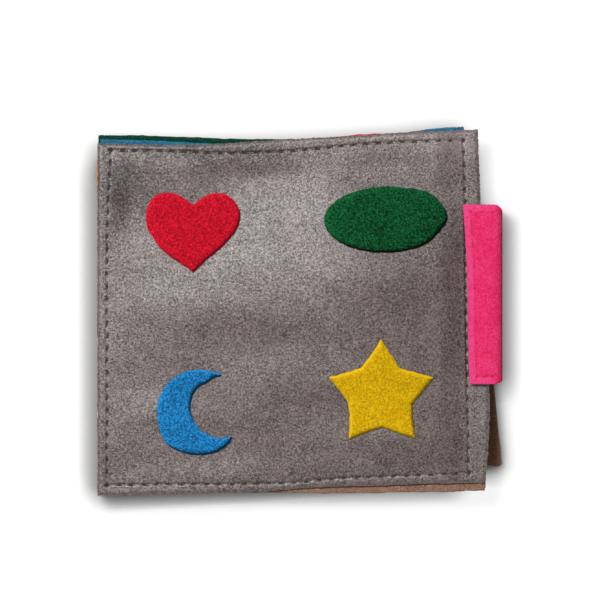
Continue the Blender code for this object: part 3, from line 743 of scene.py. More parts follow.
def seam_groove(x, y):
    """The groove that the sewing draws along the cover's seam, 0 to 1. At the spine it hardly shows."""
    right, left, head, foot = fore_seam(y), spine_seam(y), head_seam(x), foot_seam(x)
    past_x = np.maximum(np.maximum(x - right, left - x), 0)
    past_y = np.maximum(np.maximum(y - head, foot - y), 0)
    across = np.hypot(np.minimum(np.abs(y - head), np.abs(y - foot)), past_x)
    dents = [np.exp(-((off / GROOVE_WIDTH) ** 2)) for off in (across, np.hypot(x - right, past_y))]
    spine = np.exp(-((np.hypot(x - left, past_y) / GROOVE_WIDTH) ** 2))
    return np.maximum(np.maximum(*dents), SPINE_GROOVE_SHARE * spine)


def pinch(x, y):
    """How far the sewing holds the cover down: most outside its seam, less and less inside it."""
    fore = 1 - eased((fore_seam(y) - x) / PINCH_FORE_RISE)
    ends = 1 - eased(np.minimum(head_seam(x) - y, y - foot_seam(x)) / PINCH_ENDS_RISE)
    return PINCH_FORE * fore + PINCH_ENDS * ends * (1 - fore)


def lining_curl(x, y):
    """At its head and foot the sewing draws the lining up towards the cover."""
    ends = 1 - eased(np.minimum(head_seam(x) - y, y - foot_seam(x)) / LINING_CURL_RISE)
    return LINING_CURL * ends * (1 - eased((x - fore_seam(y) + LINING_CURL_RISE) / LINING_CURL_RISE))


def lift(x, y, level):
    """How far a sheet at this level is lifted by the swell and the felt's own slight waviness."""
    inward = np.minimum(x - SPINE_X - RIPPLE_SPINE_MARGIN, fore_seam(y) - x)
    inward = np.minimum(inward, np.minimum(head_seam(x) - y, y - foot_seam(x)))
    ripple = 0.0
    for height, i, j, phase in RIPPLES:
        ripple = ripple + height * np.cos(math.tau * (i * x / RIPPLE_SPAN + j * y / RIPPLE_SPAN + phase))
    return lift_share(level) * (swell(x, y) + ripple * eased(inward / RIPPLE_RISE))


def cover_surface(x, y):
    """Height of the cover's top face without its groove and needle holes."""
    x, y = np.asarray(x, float), np.asarray(y, float)
    return COVER_EDGE_TOP + lift(x, y, COVER_LEVEL) - pinch(x, y)


def cover_relief(x, y):
    """Depth of the seam's groove and needle holes below the cover's top face."""
    groove = GROOVE_DEPTH * seam_groove(x, y)
    holes = HOLE_DEPTH * pits(x, y, cover_holes, cover_slants)
    return np.minimum(groove + holes, COVER_DEEPEST)


def cover_tone(x, y):
    """Painted shade in the needle holes, painted light and shade in patches of the cover, and a little darker
    outside the spine's seam.
    """
    tone = HOLE_PAINTED_SHADE * pits(x, y, cover_holes, cover_slants)
    for (middle_x, middle_y), (reach_x, reach_y), power, height in COVER_PAINTED_LIGHT_AND_SHADE:
        across, up = (x - middle_x) / reach_x, (y - middle_y) / reach_y
        tone = tone + height * np.exp(-(across**power) - up**2)
    return tone + SPINE_TONE * eased((spine_seam(y) - x) / SPINE_TONE_REACH + 0.5)


# The sheets


def add_sheet(
    name, nodes, body, slot, lines, bend, seed, top_face, under_face, tone_at=None, dye=None, **pushes
):
    """One felt sheet as a closed mesh. The two functions give its faces' heights above its own level."""
    outline = Outline(nodes, seed)
    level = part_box(nodes[-1])[1].z - COVER_THICKNESS
    x, y = outline.grid(*lines, RIM_BULGE, **pushes)
    rise = level + lift(x, y, level)
    inward = np.minimum(np.minimum(x - x[:1], x[-1:] - x), np.minimum(y - y[:, :1], y[:, -1:] - y))
    drop = EDGE_DROP * np.clip(1 - inward / EDGE_DROP_REACH, 0, 1) ** 2
    top = np.stack([x, y, rise + COVER_THICKNESS - drop + top_face(outline, x, y)], -1)
    bottom = np.stack([x, y, rise + UNDER_DROP_SHARE * drop + under_face(outline, x, y)], -1)
    points, faces = closed_sheet(top, bottom, seed)
    # Painted highlight along the cut edges, plus the sheet's own marks
    painted_edge_tone = EDGE_PAINTED_HIGHLIGHT * np.exp(-inward.ravel() / EDGE_HIGHLIGHT_REACH)
    marks = 0.0 if tone_at is None else tone_at(x, y).ravel()
    tone = np.concatenate([painted_edge_tone + marks, painted_edge_tone, np.full(len(points) - 2 * len(painted_edge_tone), EDGE_PAINTED_HIGHLIGHT)])
    piece = new_piece(name, points, faces, FELTS[dye or slot], slot, tone)
    fix_normals(piece)
    carry(piece, body, level, bend)
    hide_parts(*nodes)
    return piece, level


def carry(piece, body, level, bend):
    """A piece on the back cover rides on its body. Any other piece has its place baked into its mesh."""
    bound, free = (HINGE_X, 0, level), (HINGE_X + bend, 0, level)
    if body == "back_cover":
        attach(piece, body)
    elif body == "front_cover":
        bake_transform(piece)
        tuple(free)
        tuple(bound)
    else:
        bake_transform(piece)
        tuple(bound)
        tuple(free)


def flat_face(outline, x, y):
    """A face with no relief of its own."""
    return 0.0 * x


class Seamed:
    """The face of a sheet with a seam a little way in from its head, fore-edge and foot."""

    def __init__(self, outline, inset, seed, facing):
        low, high = outline.fore_low + inset, outline.fore_high - inset
        ys = np.linspace(low, high, LEAF_SEAM_STEPS)
        fore_x = outline.fore(ys) - inset
        foot_x = np.linspace(HINGE_X - PAST_HINGE, fore_x[0], LEAF_SEAM_STEPS)
        head_x = np.linspace(HINGE_X - PAST_HINGE, fore_x[-1], LEAF_SEAM_STEPS)
        runs = (
            np.stack([foot_x, outline.foot(foot_x) + inset], 1),
            np.stack([fore_x, ys], 1),
            np.stack([head_x, outline.head(head_x) - inset], 1),
        )
        self.runs = [jittered(holes_along(run), seed + i) for i, run in enumerate(runs)]
        self.holes = np.vstack(self.runs)
        self.slants = np.vstack([slants(run) for run in self.runs])
        self.inset = inset
        self.facing = facing

    def __call__(self, outline, x, y):
        from_head, from_foot, from_fore = outline.inward(x, y)
        near = np.abs(np.minimum(np.minimum(from_head, from_foot), from_fore) - self.inset)
        groove = LEAF_GROOVE_SHARE * GROOVE_DEPTH * np.exp(-((near / GROOVE_WIDTH) ** 2))
        holes = LEAF_HOLE_SHARE * HOLE_DEPTH * pits(x, y, self.holes, self.slants)
        return -self.facing * np.minimum(groove + holes, LEAF_DEEPEST)

    def sew(self, name, slot, face_height):
        return stitches(name, self.runs, face_height, slot, facing=self.facing, sink=LEAF_SINK)


def cover_top_face(outline, x, y):
    return -pinch(x, y) - cover_relief(x, y)


def cover_under_face(outline, x, y):
    return -pinch(x, y)


def stiffener_top_face(outline, x, y):
    """The interlining is pressed thin where the cover comes down to its seam."""
    return np.maximum(-pinch(x, y), -COVER_THICKNESS + STIFFENER_THINNEST)


def stiffener_under_face(outline, x, y):
    return np.minimum(lining_curl(x, y), STIFFENER_CURL)


def lining_top_face(outline, x, y):
    return lining_curl(x, y)


def lining_under_face(outline, x, y):
    """Under the cover its seam shows on the lining."""
    return lining_curl(x, y) + np.minimum(LINING_SHOW_SHARE * cover_relief(x, y), LINING_DEEPEST)


BOUND = "_bound_edge"
COVER_NODES = ["front_cover_felt", "front_cover_felt" + BOUND]
LINING_NODES = ["front_cover_lining", "front_cover_lining" + BOUND]
INTERLINING_NODES = ["front_cover_interlining", "front_cover_interlining" + BOUND]


def sheet_lines(width, depth, spine_band, fore_band, end_band, fine, coarse):
    """The lines of a sheet's grid, across and up, closer together beside its edges."""
    across = graded_lines(width, spine_band, fore_band, fine, coarse)
    return across, graded_lines(depth, end_band, end_band, fine, coarse)


COVER_LINES = sheet_lines(158 * MM, 146 * MM, 7 * MM, 13 * MM, 7 * MM, 0.3 * MM, 0.75 * MM)
LINING_LINES = sheet_lines(158 * MM, 146 * MM, 7 * MM, 13 * MM, 7 * MM, 0.45 * MM, 2.6 * MM)
LEAF_LINES = sheet_lines(151 * MM, 146 * MM, 4 * MM, 7 * MM, 7 * MM, 0.5 * MM, 2.8 * MM)
PLAIN_LINES = sheet_lines(156 * MM, 146 * MM, 6 * MM, 5 * MM, 5 * MM, 1.2 * MM, 3.2 * MM)

# How the photographed edges depart from the solids'. A rise is a height, the photograph's column that it
# starts at, and how far it takes. A bump is a height, its column and its reach. Outward is positive.
COVER_FOOT_RISE = (-0.70 * MM, 265, 18 * MM)
COVER_FOOT_RETURN = (0.6, 430, 20 * MM)
COVER_HEAD_PUSH = 0.42 * MM
COVER_HEAD_BUMP = (0.35 * MM, 322, 14 * MM)
LINING_FOOT_RISE = (0.45 * MM, 285, 20 * MM)
BROWN_FOOT_BUMP = (1.0 * MM, 496, 3.2 * MM)
LEAF_HEAD_RISES = {
    "leaf_2": (-0.45 * MM, 270, 14 * MM),
    "leaf_3": (-0.9 * MM, 376, 7 * MM),
    "leaf_4": (0.35 * MM, 436, 5 * MM),
}
LEAF_HEAD_BUMPS = {"leaf_3": (0.25 * MM, 357, 5 * MM)}

# Near the head the lowest leaf's lower sheet stands a little out of the spine: how far, where and how wide.
SLIVER = 1.05 * MM
SLIVER_SHARE = 0.907
SLIVER_REACH_SHARE = 0.030

# How far each leaf's corner at the spine and the head lies further in, and where that starts
CORNERS_DRAWN_IN = {"leaf_1": 1.1 * MM, "leaf_2": 0.3 * MM, "leaf_3": 0.7 * MM, "leaf_4": 0.7 * MM}
CORNER_START_SHARE = 0.945
CORNER_REACH_SHARE = 0.045


def rise_at(x, height, pixel, reach):
    """Eases from 0 to a height from a column of the photograph on."""
    return height * eased((x - pixel_x(pixel)) / reach)


def bump_at(x, height, pixel, reach):
    """A smooth bump at a column of the photograph."""
    return height * np.exp(-(((x - pixel_x(pixel)) / reach) ** 2))


def cover_foot_push(x):
    """The cover's foot is drawn up a little right of its middle, where the lining shows."""
    return rise_at(x, *COVER_FOOT_RISE) * (1 - rise_at(x, *COVER_FOOT_RETURN))


def cover_head_push(x):
    return COVER_HEAD_PUSH + bump_at(x, *COVER_HEAD_BUMP)


def lining_foot_push(x):
    return rise_at(x, *LINING_FOOT_RISE)


def brown_foot_push(x):
    """The back lining's foot bulges a little beside the fore-edge."""
    return bump_at(x, *BROWN_FOOT_BUMP)


def leaf_spine_push(leaf, side):
    sliver = SLIVER if (leaf, side) == ("leaf_4", "lower") else 0.0
    drawn_in = CORNERS_DRAWN_IN[leaf]

    def push(v):
        out = sliver * np.exp(-(((v - SLIVER_SHARE) / SLIVER_REACH_SHARE) ** 4))
        return out - drawn_in * eased((v - CORNER_START_SHARE) / CORNER_REACH_SHARE)

    return push


def leaf_head_push(leaf):
    """Where the cover's head hides one leaf, and where the next one shows."""
    if leaf not in LEAF_HEAD_RISES:
        return None
    rise = LEAF_HEAD_RISES[leaf]
    bump = LEAF_HEAD_BUMPS.get(leaf)
    return lambda x: rise_at(x, *rise) + (bump_at(x, *bump) if bump else 0.0)


cover_piece, _ = add_sheet(
    "front_cover", COVER_NODES, "front_cover", "grey_felt", COVER_LINES, COVER_BEND, 11,
    cover_top_face, cover_under_face, cover_tone, head_push=cover_head_push, foot_push=cover_foot_push,
)
lining_piece, lining_level = add_sheet(
    "front_lining", LINING_NODES, "front_cover", "tan_felt", LINING_LINES, COVER_BEND, 31,
    lining_top_face, lining_under_face, foot_push=lining_foot_push,
)
interlining_piece, _ = add_sheet(
    "front_stiffener", INTERLINING_NODES, "front_cover", "white_felt", PLAIN_LINES, COVER_BEND, 41,
    stiffener_top_face, stiffener_under_face,
)

# Each leaf's upper and lower felt. The leaves' blue and green are a shade deeper than the cut-outs'.
LEAF_FELTS = {
    "leaf_1": ("blue_felt", "blue_felt"),
    "leaf_2": ("green_felt", "green_felt"),
    "leaf_3": ("red_felt", "red_felt"),
    "leaf_4": ("blue_felt", "orange_felt"),
}
LEAF_DYES = {"blue_felt": "deep_blue_felt", "green_felt": "deep_green_felt"}

leaf_pieces = []
seam_pieces = {}
for number, (leaf, slots) in enumerate(LEAF_FELTS.items()):
    for side, slot, facing in (("upper", slots[0], 1), ("lower", slots[1], -1)):
        node_name = "%s_%s_sheet" % (leaf, side)
        seed = 100 + 20 * number + (5 if side == "lower" else 0)
        nodes = [node_name, node_name + BOUND]
        seam = Seamed(Outline(nodes, seed), LEAF_SEAM_INSET, seed, facing)
        faces = (seam, flat_face) if facing == 1 else (flat_face, seam)
        piece, level = add_sheet(
            "%s_%s" % (leaf, side), nodes, leaf, slot, LEAF_LINES, LEAF_BEND, seed, *faces,
            dye=LEAF_DYES.get(slot), spine_push=leaf_spine_push(leaf, side), head_push=leaf_head_push(leaf),
        )
        leaf_pieces.append(piece)

        def face_height(x, y, level=level, facing=facing):
            return level + lift(x, y, level) + (COVER_THICKNESS if facing == 1 else 0.0)

        thread_piece = seam.sew("%s_%s_seam" % (leaf, side), slot, face_height)
        carry(thread_piece, leaf, level, LEAF_BEND)
        seam_pieces[piece.name] = [thread_piece]

back_lining, _ = add_sheet(
    "back_lining", ["back_cover_lining"], "back_cover", "brown_felt", LEAF_LINES, 0, 51, flat_face, flat_face,
    foot_push=brown_foot_push,
)
back_stiffener, _ = add_sheet(
    "back_stiffener", ["back_cover_interlining"], "back_cover", "white_felt", PLAIN_LINES, 0, 56,
    flat_face, flat_face,
)
back_seam = Seamed(Outline(["back_cover_felt"], 61), LEAF_SEAM_INSET, 61, -1)
back_felt, back_level = add_sheet(
    "back_cover", ["back_cover_felt"], "back_cover", "grey_felt", LEAF_LINES, 0, 61, flat_face, back_seam
)
back_thread = back_seam.sew("back_cover_seam", "grey_felt", lambda x, y: back_level + 0 * x)
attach(back_thread, "back_cover")

cover_thread = stitches("cover_seam", cover_runs[:3], cover_surface, "grey_felt", sink=COVER_SINK)
carry(cover_thread, "front_cover", COVER_LEVEL, COVER_BEND)
spine_thread = stitches("binding_seam", cover_runs[3:], cover_surface, "grey_felt", sink=COVER_SINK)
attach(spine_thread, "back_cover")
lining_thread = stitches(
    "lining_seam",
    cover_runs[:3],
    lambda x, y: lining_level + lift(x, y, lining_level) + lining_curl(x, y),
    "tan_felt",
    facing=-1,
    sink=LINING_SINK,
)
carry(lining_thread, "front_cover", lining_level, COVER_BEND)


# The cut-outs on the cover


def resampled(loop, step, keep_angle=math.radians(24)):
    """A closed outline with even points, whose corners stay."""
    before = loop - np.roll(loop, 1, 0)
    after = np.roll(loop, -1, 0) - loop
    turn = np.arctan2(before[:, 0] * after[:, 1] - before[:, 1] * after[:, 0], np.sum(before * after, 1))
    corners = np.flatnonzero(np.abs(turn) > keep_angle)
    start = corners[0] if len(corners) else 0
    loop = np.roll(loop, -start, 0)
    marks = sorted({(int(c) - int(start)) % len(loop) for c in corners} | {0}) + [len(loop)]
    closed = np.vstack([loop, loop[:1]])
    points = []
    for one, other in zip(marks, marks[1:]):
        chain = closed[one : other + 1]
        length = np.concatenate([[0], np.cumsum(np.linalg.norm(np.diff(chain, axis=0), axis=1))])
        count = max(1, round(length[-1] / step))
        places = np.linspace(0, length[-1], count + 1)[:-1]
        points.append(np.stack([np.interp(places, length, chain[:, i]) for i in range(2)], 1))
    return np.vstack(points)


def outward(loop):
    """The outward direction at each point of a closed outline."""
    along = np.roll(loop, -1, 0) - np.roll(loop, 1, 0)
    out = np.stack([along[:, 1], -along[:, 0]], 1)
    return out / np.linalg.norm(out, axis=1)[:, None]


def inside(points, loop):
    """Which points lie inside a closed outline, and how far each is from it."""
    crossings = np.zeros(len(points), int)
    nearest = np.full(len(points), 1e9)
    for a, b in zip(loop, np.roll(loop, -1, 0)):
        spans = (a[1] > points[:, 1]) != (b[1] > points[:, 1])
        level = a[0] + (points[:, 1] - a[1]) / (b[1] - a[1] + 1e-12) * (b[0] - a[0])
        crossings += spans & (points[:, 0] < level)
        run = b - a
        t = np.clip(((points - a) @ run) / (run @ run), 0, 1)
        nearest = np.minimum(nearest, np.linalg.norm(points - a - t[:, None] * run, axis=1))
    return crossings % 2 == 1, nearest


CUTOUTS = {"heart": "red_felt", "oval": "green_felt", "crescent": "blue_felt", "star": "yellow_felt"}
CUTOUT_THICKNESS = 1.45 * MM
CUTOUT_GAP = 0.05 * MM
CUTOUT_STEP = 0.45 * MM
CUTOUT_CELL = 1.0 * MM
CUTOUT_SHAKE_SHARE = 0.2
CUTOUT_WOBBLE = 0.09 * MM
CUTOUT_WAVES = (3.1 * MM, 5.3 * MM, 9.7 * MM)
CUTOUT_CURL = 0.35 * MM
CUTOUT_CURL_REACH = 5 * MM
CUTOUT_CURL_WAVE = 30 * MM
CUTOUT_NAP = 0.04 * MM
CUTOUT_NAP_WAVE = 2.1 * MM

# The rounded edge of a cut-out: how far its top ends inside the outline, how it drops there, and the rim's
# two loops, with their height as a share of the thickness and how far a slanting cut moves them out
TOP_INSET = 0.2 * MM
CUTOUT_ROUND = 0.55 * MM
CUTOUT_ROUND_REACH = 0.8 * MM
SHOULDER_SHARE = 0.45
RIM_RAGGED = 0.05 * MM
CUTOUT_RIMS = ((0.52, 0.0), (0.22, 0.3 * MM))

# Painted shade and highlight on the cut-outs' rims: the cut edges that face down and right, away from the
# lamp, are painted darker, the others painted lighter.
RIM_DIRECTION = (0.6, -0.8)
RIM_PAINTED_SHADE = 1.6
RIM_PAINTED_HIGHLIGHT = {"heart": 0.1, "oval": 0.0, "crescent": 0.0, "star": 2.2}
RIM_REACH = 0.45 * MM

# How the photographed cut-outs depart from the solids' even outlines: a place, its shift and the shift's
# reach, in pixels
HAND_CUT = {
    "heart": (((166, 246), (-4.2, 4.2), 24), ((222, 244), (1.6, 1.6), 18), ((157, 196), (-1.5, -1.0), 9)),
    "oval": (((425, 194), (1.6, -1.8), 13), ((441, 232), (-2.4, -1.4), 13)),
    "crescent": (
        ((170, 445), (-3.2, 1.0), 16), ((233, 436), (-2.5, 0.0), 7), ((218, 374), (3.3, 0.4), 7),
        ((205, 380), (2.6, 2.0), 9),
    ),
    "star": (
        ((381, 395), (0.0, -2.9), 200), ((351, 408), (-2.4, -1.0), 8), ((413, 440), (1.3, -0.6), 9),
        ((363, 371), (-0.9, -1.1), 8), ((381, 428), (0.0, 1.0), 8),
    ),
}


def hand_cut(name, loop):
    """A cut-out's even outline, moved to where the hand-cut one lies."""
    moved = loop.copy()
    for (x, y), (right, down), reach in HAND_CUT[name]:
        gap = np.linalg.norm(loop - (pixel_x(x), pixel_y(y)), axis=1)
        share = np.exp(-((gap / (reach * PIXEL)) ** 2))
        moved += share[:, None] * PIXEL * np.array([right, -down])
    return moved


def filled(edge, out, low, high, rng):
    """Points on and inside an edge, close together beside it and in a shaken lattice, and their triangles."""
    gx, gy = np.meshgrid(
        np.arange(low[0], high[0], CUTOUT_CELL), np.arange(low[1], high[1], CUTOUT_CELL), indexing="ij"
    )
    shake = rng.uniform(-CUTOUT_SHAKE_SHARE, CUTOUT_SHAKE_SHARE, (gx.size, 2)) * CUTOUT_CELL
    lattice = np.stack([gx.ravel(), gy.ravel()], 1) + shake
    within, gap = inside(lattice, edge)
    lattice = lattice[within & (gap > CUTOUT_ROUND_REACH + 0.3 * CUTOUT_CELL)]
    rounding = (SHOULDER_SHARE * CUTOUT_ROUND_REACH, CUTOUT_ROUND_REACH)
    shoulder = np.vstack([edge - out * reach for reach in rounding])
    within, gap = inside(shoulder, edge)
    flat = np.vstack([edge, shoulder[within & (gap > 0.4 * CUTOUT_ROUND_REACH)], lattice])
    made = geometry.delaunay_2d_cdt(
        [Vector(p) for p in flat.tolist()], [], [list(range(len(edge)))], 1, SAME_PLACE
    )
    triangles = np.array([face for face in made[2] if len(face) == 3])
    return np.array([list(p) for p in made[0]]), triangles


def add_cutout(name, slot, seed):
    """A felt cut-out that lies on the cover: top and bottom faces with inner points, and a rounded rim."""
    loop = resampled(hand_cut(name, resampled(rim_loop(name), CUTOUT_STEP)), CUTOUT_STEP)
    low, high = loop.min(0), loop.max(0)
    out = outward(loop)
    rng = np.random.default_rng(seed)
    place = np.arange(len(loop)) * CUTOUT_STEP
    loop = loop + out * (CUTOUT_WOBBLE * wave_noise(place, seed, CUTOUT_WAVES))[:, None]
    edge = loop - out * TOP_INSET
    flat, triangles = filled(edge, out, low, high, rng)
    curl = 0.5 + 0.5 * plane_noise(loop[:, 0], loop[:, 1], seed + 1, CUTOUT_CURL_WAVE)
    _, gap = inside(flat, edge)
    nearest = np.argmin(np.linalg.norm(flat[:, None] - edge[None], axis=2), axis=1)
    curl_at = CUTOUT_CURL * curl[nearest] * np.clip(1 - gap / CUTOUT_CURL_REACH, 0, 1) ** 2
    base = cover_surface(flat[:, 0], flat[:, 1]) + CUTOUT_GAP + curl_at
    nap = CUTOUT_NAP * plane_noise(flat[:, 0], flat[:, 1], seed, CUTOUT_NAP_WAVE)
    nap = nap - CUTOUT_ROUND * np.clip(1 - gap / CUTOUT_ROUND_REACH, 0, 1) ** 2
    upper = np.column_stack([flat, base + CUTOUT_THICKNESS + nap])
    lower = np.column_stack([flat, base])
    rims = []
    facing = out @ np.array(RIM_DIRECTION)
    for share, slant in CUTOUT_RIMS:
        bevel = slant * np.clip(facing, 0, 1)
        ragged = loop + out * (bevel + RIM_RAGGED * rng.standard_normal(len(loop)))[:, None]
        height = cover_surface(ragged[:, 0], ragged[:, 1]) + CUTOUT_GAP + share * CUTOUT_THICKNESS
        rims.append(np.column_stack([ragged, height + CUTOUT_CURL * curl]))
    faces = triangles.tolist() + (triangles[:, ::-1] + len(flat)).tolist()
    faces += rim_faces(np.arange(len(edge)), len(flat)).tolist()
    # Painted shade on the rim facing away from the lamp, painted highlight on the rest
    rim_light_and_shade = np.where(facing > 0, -RIM_PAINTED_SHADE * facing, -RIM_PAINTED_HIGHLIGHT[name] * facing)
    painted_edge_tone = EDGE_PAINTED_HIGHLIGHT * np.exp(-gap / EDGE_HIGHLIGHT_REACH) + rim_light_and_shade[nearest] * np.exp(-gap / RIM_REACH)
    tone = np.concatenate([painted_edge_tone, painted_edge_tone, EDGE_PAINTED_HIGHLIGHT + rim_light_and_shade, EDGE_PAINTED_HIGHLIGHT + rim_light_and_shade])
    piece = new_piece(name + "_felt", np.vstack([upper, lower, *rims]), faces, FELTS[slot], slot, tone)
    fix_normals(piece)
    carry(piece, "front_cover", COVER_LEVEL, COVER_BEND)
    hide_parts(name)
    area = 0.5 * abs(np.sum(loop[:, 0] * np.roll(loop[:, 1], -1) - np.roll(loop[:, 0], -1) * loop[:, 1]))


for i, (name, slot) in enumerate(CUTOUTS.items()):
    add_cutout(name, slot, 201 + 10 * i)


# The closing strap

BASE_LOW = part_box("strap_sewn_end")[0]
SIDE_LOW, SIDE_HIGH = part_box("strap_side")
FLAP_LOW, FLAP_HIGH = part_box("strap_flap")
WALL_X = SIDE_LOW.x
STRAP_FELT = SIDE_HIGH.x - SIDE_LOW.x
HALF_FELT = STRAP_FELT / 2
STRAP_BEND_INSIDE = 1.5 * MM
BAND_STEPS = 9
WALL_STEPS = 17
STRAP_LINES = graded_lines(70 * MM, 5 * MM, 5 * MM, 0.3 * MM, 1.2 * MM)
STRAP_BULGE = 0.12 * MM
STRAP_BOW = 0.35 * MM
STRAP_SEAM_INSET = 2.9 * MM
STRAP_PITCH = 4.4 * MM
STRAP_NEEDLE_SWAY = 0.06 * MM
STRAP_THREAD_RADIUS = 0.17 * MM
STRAP_SINK = 0.28 * MM
STRAP_GROOVE_DEPTH = 0.28 * MM
STRAP_GROOVE_WIDTH = 0.55 * MM
# Painted shade in the flap's needle holes: its length and width
STRAP_HOLE_SHADE_SIZE = (0.45 * MM, 0.30 * MM)
# Painted highlight on the flap's margin outside its seam: how much lighter, and how far it takes
STRAP_MARGIN_HIGHLIGHT = 0.45
STRAP_MARGIN_REACH = 1 * MM
FLAP_STEPS = 34

# The tape's pad inside the flap's seam: its rise, how far that takes, and where it ends before the bend
PAD_RISE = 0.35 * MM
PAD_REACH = 1.6 * MM
MARGIN_SINK_SHARE = 0.6
MARGIN_SINK_REACH = 2.6 * MM
PAD_END = 1 * MM
PAD_END_REACH = 4 * MM

# The flap's free edge bows once out and once in: how far, where that starts, and its whole length
FLAP_BOW = 0.5 * MM
BOW_START_SHARE = 0.36
BOW_LENGTH_SHARE = 1.28


def band_path():
    """The middle of the band from its sewn end to its upper bend, as (x, z), and that bend's far end."""
    middle_x = WALL_X + HALF_FELT
    low_z = BASE_LOW.z + HALF_FELT
    high_z = FLAP_LOW.z + HALF_FELT
    radius = STRAP_BEND_INSIDE + HALF_FELT
    bend_x = middle_x - STRAP_BEND_INSIDE - HALF_FELT
    path = [(x, low_z) for x in np.linspace(BASE_LOW.x, bend_x, BAND_STEPS)]
    quarter = np.linspace(0, math.pi / 2, BAND_STEPS)[1:-1]
    path += [(bend_x + radius * math.sin(a), low_z + radius - radius * math.cos(a)) for a in quarter]
    wall = np.linspace(low_z + radius, high_z - radius, WALL_STEPS)
    bows = STRAP_BOW * np.sin(np.linspace(0, math.pi, WALL_STEPS))
    path += [(middle_x + bow, z) for bow, z in zip(bows, wall)]
    path += [(bend_x + radius * math.cos(a), high_z - radius + radius * math.sin(a)) for a in quarter]
    return np.array(path), bend_x, high_z


def band_piece(name, path, feet, heads, raise_face, seed, place_x=None, tone_at=None):
    """A stretch of the band: a grid along its path and across its width."""
    tangent = np.gradient(path, axis=0)
    tangent /= np.linalg.norm(tangent, axis=1)[:, None]
    normal = np.stack([tangent[:, 1], -tangent[:, 0]], 1)
    top = np.zeros((len(path), len(STRAP_LINES), 3))
    bottom = np.zeros_like(top)
    tone = np.zeros(top.shape[:2])
    for i, ((x, z), foot, head) in enumerate(zip(path, feet, heads)):
        ys = foot + STRAP_LINES * (head - foot)
        xs = np.full_like(ys, x) if place_x is None else place_x(i, ys, x)
        raised = raise_face(xs, ys, i)
        tone[i] = 0.0 if tone_at is None else tone_at(xs, ys, i)
        for grid, side, more in ((top, 1, raised), (bottom, -1, 0.0)):
            grid[i, :, 0] = xs + side * (HALF_FELT + more) * normal[i, 0]
            grid[i, :, 1] = ys
            grid[i, :, 2] = z + side * (HALF_FELT + more) * normal[i, 1]
    points, faces = closed_sheet(top, bottom, seed, STRAP_BULGE)
    # The rim's points take the painted edge highlight
    tone = np.concatenate([tone.ravel(), np.full(len(points) - tone.size, EDGE_PAINTED_HIGHLIGHT)])
    piece = new_piece(name, points, faces, FELTS["pink_felt"], "pink_felt", tone)
    fix_normals(piece)
    return piece


def add_lower_band(path, bend_x):
    """The band's sewn end, its lower bend and the lower half of its wall."""
    feet = np.full(len(path), SIDE_LOW.y)
    heads = np.full(len(path), SIDE_HIGH.y)
    piece = band_piece("strap_lower", path, feet, heads, lambda xs, ys, i: 0.0 * xs, 301)
    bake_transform(piece)
    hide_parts("strap_sewn_end", "strap_lower_bend", "strap_side")
    return piece


flap_loop = rim_loop("strap_flap")
FLAP_FOOT_X = flap_loop[np.argmin(flap_loop[:, 0] + flap_loop[:, 1])][0]
FLAP_HEAD_X = flap_loop[np.argmin(flap_loop[:, 0] - flap_loop[:, 1])][0]


def flap_edge(y):
    """The flap's free edge: x at each y."""
    share = (y - FLAP_LOW.y) / (FLAP_HIGH.y - FLAP_LOW.y)
    bow = FLAP_BOW * np.sin(math.tau * (share - BOW_START_SHARE) / BOW_LENGTH_SHARE)
    return FLAP_FOOT_X + share * (FLAP_HEAD_X - FLAP_FOOT_X) + bow


def flap_runs(bend_x):
    """The flap's seam: needle holes beside its free edge, its head and its foot."""
    inset = STRAP_SEAM_INSET
    ys = np.linspace(FLAP_HIGH.y - inset, FLAP_LOW.y + inset, 50)
    left = np.stack([flap_edge(ys) + inset, ys], 1)
    runs = [left]
    for end in (0, -1):
        xs = np.linspace(left[end, 0], bend_x - 0.5 * MM, 20)
        runs.append(np.stack([xs, np.full_like(xs, ys[end])], 1))
    return [
        jittered(holes_along(run, STRAP_PITCH), 320 + i, STRAP_NEEDLE_SWAY) for i, run in enumerate(runs)
    ]


